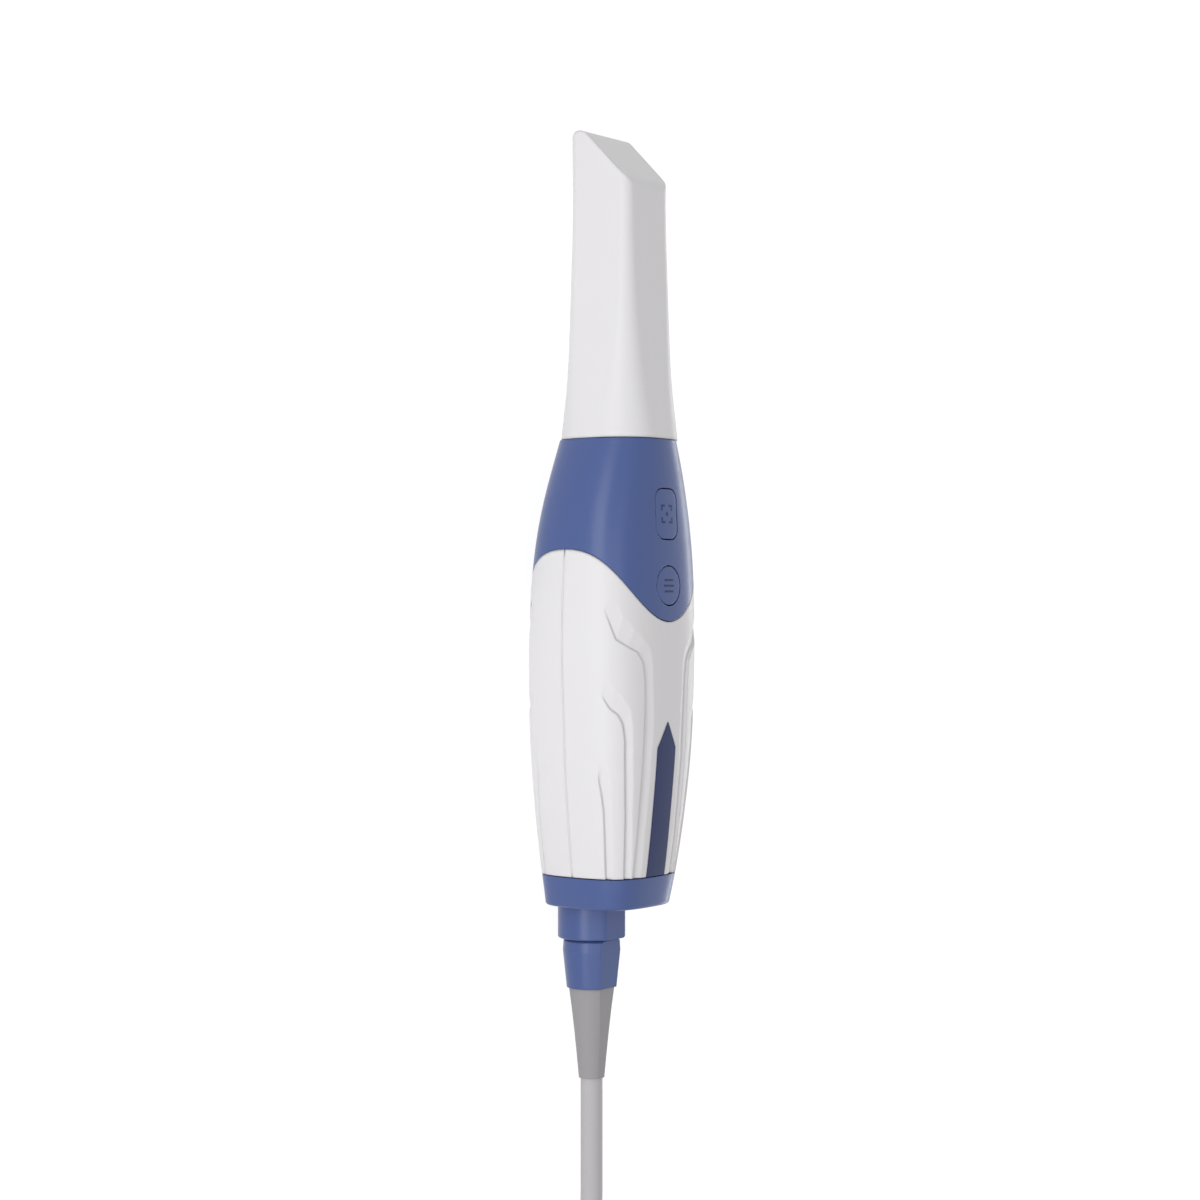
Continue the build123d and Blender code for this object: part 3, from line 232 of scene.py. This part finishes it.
class Recipe:
    """A material or world as a tree of nodes."""

    def __init__(self, owner):
        owner.use_nodes = True
        self.owner = owner
        self.tree = owner.node_tree
        self.tree.nodes.clear()

    def node(self, kind, inputs=None, **settings):
        """Adds a node: its settings first, then the values or links of its sockets."""
        made = self.tree.nodes.new(kind)
        for name, value in settings.items():
            setattr(made, name, value)
        for name, value in (inputs or {}).items():
            if isinstance(value, Wire):
                self.tree.links.new(value.socket, made.inputs[name])
            else:
                made.inputs[name].default_value = value
        shown = [socket for socket in made.outputs if socket.enabled]
        return Wire(self, shown[0]) if shown else None

    def mix(self, share, first, second):
        """Blends two colours by a share."""
        return self.node("ShaderNodeMix", {"Factor": share, "A": first, "B": second},
                         data_type="RGBA")

    def place(self):
        """The point on the piece at rest, which stays with it when it moves."""
        return self.node("ShaderNodeTexCoord")["Object"]

    def noise(self, scale, detail=2.0):
        """Cloudy noise with features about one over the scale across."""
        return self.node("ShaderNodeTexNoise", {"Vector": self.place(), "Scale": scale,
                                                "Detail": detail})

    def drift(self, value, swing, scale):
        """A value that wanders a little from place to place."""
        return value + swing * (self.noise(scale) - 0.5)

    def bump(self, height, distance, strength=1.0, edge=0.0):
        """A normal tilted by a height, with sharp edges rounded to a radius."""
        inputs = {"Height": height, "Distance": distance, "Strength": strength}
        if edge:
            inputs["Normal"] = self.node("ShaderNodeBevel", {"Radius": edge}, samples=6)
        return self.node("ShaderNodeBump", inputs)

    def grain(self, scale, distance, strength, edge=0.0):
        """A normal tilted by a fine even grain."""
        return self.bump(self.noise(scale, detail=1.0), distance, strength, edge)

    def surface(self, **values):
        """The principled surface, with sockets named by words joined with underscores."""
        inputs = {name.replace("_", " "): value for name, value in values.items()}
        shader = self.node("ShaderNodeBsdfPrincipled", inputs)
        self.node("ShaderNodeOutputMaterial", {"Surface": shader})
        return self.owner


def opaque(colour):
    """A colour with full opacity."""
    return (*colour, 1.0)


def new_recipe(name):
    """A recipe for a new material."""
    return Recipe(bpy.data.materials.new(name))


def moulding(name, colour, roughness, grain=0.35, edge=0.0, shine=0.3):
    """Satin moulded plastic with a faint grain and soft edges."""
    recipe = new_recipe(name)
    rough = recipe.drift(roughness, swing=0.08, scale=60.0)
    normal = recipe.grain(scale=2600.0, distance=0.02 * MM, strength=grain, edge=edge)
    return recipe.surface(Base_Color=opaque(colour), Roughness=rough, Normal=normal,
                          Specular_IOR_Level=shine)


def soft_moulding(name, colour):
    """Flexible grey jacket or boot, matt with a fine grain."""
    recipe = new_recipe(name)
    normal = recipe.grain(scale=1800.0, distance=0.03 * MM, strength=0.5)
    return recipe.surface(Base_Color=opaque(colour), Roughness=0.55, Normal=normal,
                          Specular_IOR_Level=0.3)


def metal(name, colour, roughness, grain=0.0):
    """Metal with a little uneven polish."""
    recipe = new_recipe(name)
    rough = recipe.drift(roughness, swing=0.1, scale=400.0)
    values = {"Base_Color": opaque(colour), "Metallic": 1.0, "Roughness": rough}
    if grain:
        values["Normal"] = recipe.grain(scale=3500.0, distance=0.03 * MM, strength=grain)
    return recipe.surface(**values)


def coated_glass(name):
    """Clear optical glass with a coating's faint tint."""
    recipe = new_recipe(name)
    return recipe.surface(Base_Color=(0.86, 0.93, 0.98, 1.0), Roughness=0.02, IOR=1.52,
                          Transmission_Weight=1.0, Coat_Weight=0.4, Coat_Roughness=0.02)


def mirror_glass(name):
    """Front-silvered mirror."""
    recipe = new_recipe(name)
    return recipe.surface(Base_Color=(0.9, 0.92, 0.93, 1.0), Metallic=1.0, Roughness=0.03)


def solder_mask(name):
    """Green circuit board with tracks under its mask."""
    recipe = new_recipe(name)
    cells = recipe.node("ShaderNodeTexBrick",
                        {"Vector": recipe.place(), "Scale": 420.0, "Mortar Size": 0.06},
                        offset=0.37, squash=1.7)
    tracks = cells["Fac"]
    colour = recipe.mix(tracks, (0.012, 0.11, 0.05, 1), (0.03, 0.2, 0.09, 1))
    normal = recipe.bump(tracks, distance=0.04 * MM)
    return recipe.surface(Base_Color=colour, Roughness=0.35, Normal=normal)


def woven_strap(name):
    """Black hook-and-loop strap, napped like felt."""
    recipe = new_recipe(name)
    nap = recipe.noise(scale=2200.0, detail=6.0)
    colour = recipe.mix(nap, (0.012, 0.012, 0.014, 1), (0.05, 0.05, 0.055, 1))
    normal = recipe.bump(nap, distance=0.3 * MM)
    return recipe.surface(Base_Color=colour, Roughness=0.95, Normal=normal)


def dress(nodes, finish):
    """Gives each named CAD node a finish."""
    for name in nodes:
        frame["nodes"][name].material_slots[0].material = finish


def dress_slots(finishes):
    """Gives the CAD nodes of each material slot of the record their finish."""
    for slot, finish in finishes.items():
        dress([part["node"] for part in frame["record"]["subparts"]
               if part["material_slot"] == slot], finish)


def add_object(name, data):
    """Links data to the scene as an object."""
    made = bpy.data.objects.new(name, data)
    bpy.context.scene.collection.objects.link(made)
    return made


def add_mesh(name, mesh):
    """Links a bmesh to the scene as a piece."""
    mesh.normal_update()
    data = bpy.data.meshes.new(name)
    mesh.to_mesh(data)
    mesh.free()
    return add_object(name, data)


def skin(mesh, rings):
    """Adds the faces of a closed body along its rings of corners."""
    for first, second in zip(rings, rings[1:]):
        for step in range(len(first)):
            after = (step + 1) % len(first)
            mesh.faces.new((first[step], first[after], second[after], second[step]))
    mesh.faces.new(rings[0])
    mesh.faces.new(reversed(rings[-1]))


class SCANNER_OT_finish_mouldings(Operator):
    """Finish the white, blue, navy and grey mouldings."""

    bl_idname = "scanner.finish_mouldings"
    bl_label = "Finish mouldings"

    def execute(self, context):
        finishes = context.scene.scanner_finishes
        white_edge, blue_edge = 0.6 * finishes.edge, 0.25 * finishes.edge
        blue_gloss = 0.85 * finishes.gloss
        dress_slots({
            "white_shell": moulding("white_moulding", finishes.white, finishes.gloss,
                                    edge=white_edge),
            "blue_shell": moulding("blue_moulding", finishes.blue, blue_gloss, edge=blue_edge,
                                   shine=0.5),
            "navy_inlay": moulding("navy_inlay", finishes.navy, roughness=0.3, grain=0.1),
            "relief_rubber": soft_moulding("grey_relief", finishes.grey),
        })
        dress(["tip_sleeve"], moulding("tip_moulding", finishes.white, finishes.gloss,
                                       edge=finishes.edge))
        return {"FINISHED"}


class SCANNER_OT_finish_optics(Operator):
    """Finish the mirror, the nose glass and the lenses."""

    bl_idname = "scanner.finish_optics"
    bl_label = "Finish optics"

    def execute(self, context):
        dress_slots({
            "optical_glass": coated_glass("coated_glass"),
            "mirror_glass": mirror_glass("tip_mirror_glass"),
        })
        return {"FINISHED"}


class SCANNER_OT_finish_insides(Operator):
    """Finish the chassis, boards, sockets, screws and seals."""

    bl_idname = "scanner.finish_insides"
    bl_label = "Finish insides"

    def execute(self, context):
        dress_slots({
            "dark_moulding": moulding("dark_moulding", BLACK, roughness=0.6),
            "chip_package": moulding("chip_package", BLACK, roughness=0.5),
            "connector_plastic": moulding("connector_body", (0.68, 0.64, 0.52), roughness=0.45),
            "ribbon_film": moulding("ribbon_film", (0.45, 0.2, 0.03), roughness=0.25, grain=0.0),
            "seal_rubber": soft_moulding("seal_rubber", BLACK),
            "board_laminate": solder_mask("solder_mask"),
            "chassis_metal": metal("blasted_aluminium", (0.75, 0.76, 0.78), roughness=0.45,
                                   grain=0.5),
            "screw_steel": metal("screw_steel", (0.6, 0.59, 0.57), roughness=0.3),
            "plated_steel": metal("nickel_plate", (0.72, 0.71, 0.68), roughness=0.22),
            "contact_gold": metal("contact_gold", (0.9, 0.66, 0.28), roughness=0.25),
        })
        return {"FINISHED"}


def ramp(travelled, start, stretch):
    """Goes from nought to one over a stretch."""
    return min(max((travelled - start) / stretch, 0.0), 1.0)


def hank_points(cable):
    """Control points of the hank's turns, two beside each other in each layer.

    The first turn is an outer one on the bottom layer. A turn moves over or up one stretch
    earlier than the turn before it did, so that none meets its neighbour.
    """
    steps_per_turn, climb = 72, 0.7 * cable.diameter
    turn_length = 2 * cable.run + 2 * pi * cable.bend
    step = turn_length / steps_per_turn
    last = (2 * cable.layers - 1) * turn_length - 2 * step
    first_move = turn_length - cable.shift - cable.entry_room
    near_end = hank_high.x - hank_high.y
    points = []
    for count in range(int(last / step)):
        travelled = (count + 0.5) * step
        outwards, height = cable.diameter / 2, hank_low.z + cable.diameter / 2
        for move in range(2 * cable.layers - 1):
            start = first_move + move * (turn_length - cable.shift)
            moved = cable.diameter * ramp(travelled, start, cable.shift)
            if move % 2:
                height += moved
            elif move % 4:
                outwards += moved
            else:
                outwards -= moved
        height += climb * ramp(travelled, last - cable.rise, cable.rise)
        radius = cable.bend + outwards
        place = travelled % turn_length
        half_turn = cable.run + pi * cable.bend
        end_x = near_end - cable.run if place < half_turn else near_end
        side = 1 if place < half_turn else -1
        place %= half_turn
        if place < cable.run:
            spot = (end_x + side * (cable.run - place), side * radius, height)
        else:
            angle = side * pi / 2 + (place - cable.run) / cable.bend
            reach = radius / cos(step / cable.bend / 2)
            spot = (end_x + reach * cos(angle), reach * sin(angle), height)
        points.append(spot)
    return points


def smooth_line(name, points, radius):
    """A round cord along a smooth line that its control points draw."""
    data = bpy.data.curves.new(name, "CURVE")
    data.dimensions = "3D"
    spline = data.splines.new("NURBS")
    spline.points.add(len(points) - 1)
    for control, point in zip(spline.points, points):
        control.co = (*point, 1.0)
    spline.order_u = 3
    spline.use_endpoint_u = True
    spline.resolution_u = 6
    data.bevel_depth = radius
    data.bevel_resolution = 5
    data.use_fill_caps = True
    return add_object(name, data)


class SCANNER_OT_add_cable(Operator):
    """Lay the free cable from the strain relief through its hank to the host plug."""

    bl_idname = "scanner.add_cable"
    bl_label = "Add cable"

    def execute(self, context):
        cable = context.scene.scanner_cable
        points = LEAD_ROUTE + hank_points(cable) + TAIL_ROUTE
        piece = smooth_line("cable_jacket", points, cable.diameter / 2)
        piece.data.materials.append(soft_moulding("cable_jacket",
                                                  context.scene.scanner_finishes.jacket))
        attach(piece, "cable")
        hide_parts("cable_lead", "cable_hank", "cable_tail")
        LEAD_ROUTE[0]
        [frame["nodes"][name] for name in
                             ("host_plug_grip", "host_plug_shell", "host_plug_tongue",
                              "hank_tie")]
        dress_slots({"tie_fabric": woven_strap("woven_strap")})
        return {"FINISHED"}


def probe_tree(node):
    """A CAD node's surface in a form that rays can be sent at."""
    data = frame["nodes"][node].data
    return BVHTree.FromPolygons([vertex.co.copy() for vertex in data.vertices],
                                [tuple(polygon.vertices) for polygon in data.polygons])


def surface_probe(node):
    """A function that gives the height of a CAD node's top surface at a place."""
    tree = probe_tree(node)

    def height(x, y):
        hit = tree.ray_cast(Vector((x, y, PROBE_START)), Vector((0, 0, -1)))[0]
        if hit is None:
            raise RuntimeError(f"no surface of {node} at that place")
        return hit.z

    return height


def side_probe(*nodes):
    """A function that gives how far the nodes' outside reaches to a side at a place."""
    trees = [probe_tree(node) for node in nodes]

    def reach(x, side, z):
        hits = [tree.ray_cast(Vector((x, side * PROBE_START, z)), Vector((0, -side, 0)))[0]
                for tree in trees]
        return max((side * hit.y for hit in hits if hit is not None), default=0.0)

    return reach


def seam_at(reach, x, side, low, high):
    """The seam's lower and upper edge and the outside beside it, or None past its end.

    The seam is where the outside lies deeper than a little further down and further up.
    """
    step, further, beside, depth = 0.04 * MM, 20, 2, 0.2 * MM
    heights = [low + count * step for count in range(int((high - low) / step))]
    reaches = [reach(x, side, z) for z in heights]
    gap = [index for index in range(further, len(heights) - further)
           if reaches[index] < min(reaches[index - further], reaches[index + further]) - depth]
    if not gap:
        return None
    outside = min(reaches[gap[0] - beside], reaches[gap[-1] + beside])
    return heights[gap[0]] - step, heights[gap[-1]] + step, outside


def add_stroke(mesh, line, width, height):
    """A thin raised stroke along a line of points that lies on a surface."""
    pitch, least_slope = 0.25 * MM, 0.5
    fine = [line[0]]
    for start, end in zip(line, line[1:]):
        parts = max(1, round((end - start).length / pitch))
        fine += [start.lerp(end, part / parts) for part in range(1, parts + 1)]
    rows = []
    for index, point in enumerate(fine):
        before = (point - fine[index - 1]).normalized() if index else None
        after = (fine[index + 1] - point).normalized() if index + 1 < len(fine) else None
        before, after = before or after, after or before
        along = (before + after).normalized()
        miter = width / 2 / max(along.dot(after), least_slope)
        across = Vector((-along.y, along.x)) * miter
        row = []
        for shift, lift in ((across, -MARK_SUNK), (across, MARK_PROUD), (-across, MARK_PROUD),
                            (-across, -MARK_SUNK)):
            spot = point + shift
            row.append(mesh.verts.new((spot.x, spot.y, height(spot.x, spot.y) + lift)))
        rows.append(row)
    skin(mesh, rows)


def add_dot(mesh, middle, radius, height):
    """A raised round dot on a surface."""
    steps = 24
    spots = [middle + radius * Vector((cos(2 * pi * step / steps), sin(2 * pi * step / steps)))
             for step in range(steps)]
    skin(mesh, [[mesh.verts.new((spot.x, spot.y, height(spot.x, spot.y) + lift))
                 for spot in spots] for lift in (-MARK_SUNK, MARK_PROUD)])


class SCANNER_OT_round_nose(Operator):
    """Make the tip sleeve again with rounder ends to its slanted face."""

    bl_idname = "scanner.round_nose"
    bl_label = "Round nose"

    def execute(self, context):
        down, slanted, up = -90, 45, 90
        slack, least_tilt, apex_stretch, sharp = 0.01, 0.7, 3.2 * MM, radians(32)
        nose = context.scene.scanner_nose
        node = frame["nodes"]["tip_sleeve"]
        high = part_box("tip_sleeve")[1]
        mesh = bmesh.new()
        mesh.from_mesh(node.data)
        bmesh.ops.remove_doubles(mesh, verts=mesh.verts, dist=MERGE_DISTANCE)
        mesh.normal_update()
        # The slanted face is where x + z has this value
        slope = max(vertex.co.x + vertex.co.z for face in mesh.faces for vertex in face.verts
                    if abs(face.normal.x - face.normal.z) < slack and face.normal.x > least_tilt)
        belly = min(vertex.co.z for vertex in mesh.verts if vertex.co.x > high.x - apex_stretch)
        middle = Vector((slope - belly - ACUTE_REACH * nose.apex, 0, belly + nose.apex))
        self.round_profile(mesh, middle, nose.apex, down, slanted)
        top = surface_probe("tip_sleeve")(slope - high.z - nose.brow / 2, 0)
        middle = Vector((slope - top - OBTUSE_REACH * nose.brow, 0, top - nose.brow))
        self.round_profile(mesh, middle, nose.brow, slanted, up)
        piece = add_mesh("tip_cover", mesh)
        piece.data.shade_smooth()
        piece.data.set_sharp_from_angle(angle=sharp)
        weighted = piece.modifiers.new("even_faces", "WEIGHTED_NORMAL")
        weighted.keep_sharp = True
        piece.data.materials.append(node.material_slots[0].material)
        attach(piece, "tip")
        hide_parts("tip_sleeve")
        return {"FINISHED"}

    def round_profile(self, mesh, middle, radius, first, last):
        """Press a corner of the side view onto an arc between two slopes in degrees.

        Cuts along the arc's radii give the mesh points there first.
        """
        pitch, cut_from, slack = 5, 0.7 * radius, 0.001
        for degree in range(first, last + 1, pitch):
            away = Vector((cos(radians(degree)), 0, sin(radians(degree))))
            across = Vector((-away.z, 0, away.x))
            faces = [face for face in mesh.faces
                     if max((vertex.co - middle).dot(away) for vertex in face.verts) > cut_from]
            edges = {edge for face in faces for edge in face.edges}
            corners = {vertex for face in faces for vertex in face.verts}
            bmesh.ops.bisect_plane(mesh, geom=[*faces, *edges, *corners], dist=MERGE_DISTANCE,
                                   plane_co=middle, plane_no=across)
        for vertex in mesh.verts:
            away = Vector((vertex.co.x - middle.x, 0, vertex.co.z - middle.z))
            turn = atan2(away.z, away.x)
            if away.length > radius and radians(first) - slack < turn < radians(last) + slack:
                vertex.co = middle + away.normalized() * radius + Vector((0, vertex.co.y, 0))


class SCANNER_OT_add_parting_lines(Operator):
    """Fill the seam between the two white shells to a fine parting line on each side."""

    bl_idname = "scanner.add_parting_lines"
    bl_label = "Add parting lines"

    def execute(self, context):
        sunk, deep, pitch, band = 0.05 * MM, 0.6 * MM, 2 * MM, 9 * MM
        low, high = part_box("lower_shell")
        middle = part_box("upper_shell")[0].z / 2 + high.z / 2
        reach = side_probe("lower_shell", "upper_shell")
        mesh = bmesh.new()
        for side in (-1, 1):
            rows = []
            for count in range(int((high.x - low.x) / pitch)):
                x = low.x + (count + 0.5) * pitch
                seam = seam_at(reach, x, side, middle - band, middle + band)
                if seam is None:
                    continue
                bottom, top, outside = seam
                rows.append([mesh.verts.new((x, side * (outside - depth), z))
                             for z, depth in ((bottom, deep), (bottom, sunk), (top, sunk),
                                              (top, deep))])
            skin(mesh, rows)
        bmesh.ops.recalc_face_normals(mesh, faces=mesh.faces)
        piece = add_mesh("shell_parting_lines", mesh)
        finishes = context.scene.scanner_finishes
        piece.data.materials.append(moulding("parting_line", finishes.white, finishes.gloss))
        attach(piece, "handle")
        return {"FINISHED"}


class SCANNER_OT_add_marks(Operator):
    """Add the focus brackets and the bars on the two buttons as raised strips, darker than the
    button as painted shade of their relief.
    """

    bl_idname = "scanner.add_marks"
    bl_label = "Add button marks"

    def execute(self, context):
        marks = context.scene.scanner_marks
        # The marks' dark colour is painted shade, standing in for the shade of their relief on the
        # buttons
        mark_painted_shade = moulding("button_ink", context.scene.scanner_finishes.mark, roughness=0.4, grain=0.0)
        for node, draw in (("scan_button", self.brackets), ("mode_button", self.bars)):
            low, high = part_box(node)
            middle = Vector(((low.x + high.x) / 2, (low.y + high.y) / 2))
            mesh = bmesh.new()
            draw(mesh, marks, middle, surface_probe(node))
            bmesh.ops.recalc_face_normals(mesh, faces=mesh.faces)
            piece = add_mesh(node + "_mark", mesh)
            piece.data.materials.append(mark_painted_shade)
            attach(piece, node)
        return {"FINISHED"}

    def brackets(self, mesh, marks, middle, height):
        """Four corner brackets round a dot."""
        reach, leg = marks.bracket_reach, marks.bracket_leg
        for side in (-1, 1):
            for end in (-1, 1):
                corner = Vector((end * reach, side * reach))
                line = [corner - Vector((end * leg, 0)), corner, corner - Vector((0, side * leg))]
                add_stroke(mesh, [middle + point for point in line], marks.stroke, height)
        add_dot(mesh, middle, marks.dot, height)

    def bars(self, mesh, marks, middle, height):
        """Three bars side by side, across the scanner, the outer two a little shorter."""
        for place in (-1, 0, 1):
            shift = place * marks.bar_pitch
            half = marks.bar_length / 2 - abs(shift) / 4
            line = [middle + Vector((shift, -half)), middle + Vector((shift, half))]
            add_stroke(mesh, line, marks.stroke, height)


def add_lamp(name, power, size, place, aim):
    """A soft rectangular lamp that faces a point."""
    data = bpy.data.lights.new(name, "AREA")
    data.shape = "RECTANGLE"
    data.energy = power
    data.size, data.size_y = size
    lamp = add_object(name, data)
    lamp.location = place
    lamp.rotation_euler = (aim - place).to_track_quat("-Z", "Y").to_euler()


def seen_directly(recipe):
    """One for rays from the camera and for those through glass or off a polished surface."""
    path = recipe.node("ShaderNodeLightPath")
    total = path["Is Camera Ray"] + path["Is Glossy Ray"] + path["Is Transmission Ray"]
    return total.math("MINIMUM", total, 1.0)


class SCANNER_OT_add_stage(Operator):
    """Set up the floor, the lamps, the white surroundings and the camera."""

    bl_idname = "scanner.add_stage"
    bl_label = "Add stage"

    def execute(self, context):
        studio = context.scene.scanner_studio
        self.add_floor(studio)
        self.add_world(studio)
        aim = Vector(studio.aim)
        for name, (size, offset) in LAMPS.items():
            add_lamp(name, getattr(studio, name), size, aim + Vector(offset), aim)
        self.add_camera(studio)
        context.scene.view_settings.view_transform = "Standard"
        return {"FINISHED"}

    def add_floor(self, studio):
        """A plain floor that keeps a pale shadow."""
        half, glow_share = 3.0, 0.8
        mesh = bmesh.new()
        bmesh.ops.create_grid(mesh, x_segments=1, y_segments=1, size=half)
        floor = add_mesh("floor", mesh)
        recipe = new_recipe("floor_paper")
        matt = recipe.node("ShaderNodeBsdfDiffuse", {"Color": opaque(studio.backdrop)})
        glow = recipe.node("ShaderNodeEmission", {"Color": opaque(studio.backdrop),
                                                  "Strength": studio.glow})
        both = recipe.node("ShaderNodeMixShader", {0: glow_share * seen_directly(recipe),
                                                   1: matt, 2: glow})
        recipe.node("ShaderNodeOutputMaterial", {"Surface": both})
        floor.data.materials.append(recipe.owner)

    def add_world(self, studio):
        """White surroundings to the eye, softer as a light."""
        world = bpy.data.worlds.new("surroundings")
        bpy.context.scene.world = world
        recipe = Recipe(world)
        light = recipe.node("ShaderNodeBackground", {"Color": (1.0, 0.99, 1.0, 1.0),
                                                     "Strength": studio.ambient})
        white = recipe.node("ShaderNodeBackground", {"Color": opaque(studio.backdrop),
                                                     "Strength": 1.0})
        both = recipe.node("ShaderNodeMixShader", {0: seen_directly(recipe), 1: light, 2: white})
        recipe.node("ShaderNodeOutputWorld", {"Surface": both})

    def add_camera(self, studio):
        """The camera above the near side, with the tip at the top of the picture."""
        data = bpy.data.cameras.new("camera")
        data.lens = studio.lens
        data.sensor_width = 36
        camera = add_object("camera", data)
        back = Vector((0, sin(studio.lean), cos(studio.lean)))
        up = Vector((1, 0, 0))
        turn = Matrix((up.cross(back), up, back)).transposed()
        place = Vector(studio.aim) + back * studio.distance
        camera.matrix_world = Matrix.Translation(place) @ turn.to_4x4()
        bpy.context.scene.camera = camera


class SCANNER_PT_panel(Panel):
    """Buttons for each group of pieces."""

    bl_idname = "SCANNER_PT_panel"
    bl_label = "Scanner"
    bl_space_type = "VIEW_3D"
    bl_region_type = "UI"
    bl_category = "Scanner"

    def draw(self, context):
        for name, group in SETTINGS.items():
            column = self.layout.column(align=True)
            for setting in group.__annotations__:
                column.prop(getattr(context.scene, name), setting)
        for step in STEPS:
            self.layout.operator(step.bl_idname)


SETTINGS = {
    "scanner_finishes": ScannerFinishes,
    "scanner_cable": ScannerCable,
    "scanner_nose": ScannerNose,
    "scanner_marks": ScannerMarks,
    "scanner_studio": ScannerStudio,
}
STEPS = (
    SCANNER_OT_add_stage,
    SCANNER_OT_add_cable,
    SCANNER_OT_finish_mouldings,
    SCANNER_OT_finish_optics,
    SCANNER_OT_finish_insides,
    SCANNER_OT_round_nose,
    SCANNER_OT_add_parting_lines,
    SCANNER_OT_add_marks,
)


def register():
    """Registers the settings, the operators and the panel."""
    for name, group in SETTINGS.items():
        bpy.utils.register_class(group)
        setattr(bpy.types.Scene, name, PointerProperty(type=group))
    for step in STEPS:
        bpy.utils.register_class(step)
    bpy.utils.register_class(SCANNER_PT_panel)


def unregister():
    """Takes them out again."""
    bpy.utils.unregister_class(SCANNER_PT_panel)
    for step in reversed(STEPS):
        bpy.utils.unregister_class(step)
    for name, group in SETTINGS.items():
        delattr(bpy.types.Scene, name)
        bpy.utils.unregister_class(group)


def main():
    """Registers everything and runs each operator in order."""
    register()
    bpy.ops.scanner.add_stage()
    bpy.ops.scanner.add_cable()
    bpy.ops.scanner.finish_mouldings()
    bpy.ops.scanner.finish_optics()
    bpy.ops.scanner.finish_insides()
    bpy.ops.scanner.round_nose()
    bpy.ops.scanner.add_parting_lines()
    bpy.ops.scanner.add_marks()


if __name__ == "__main__":
    main()
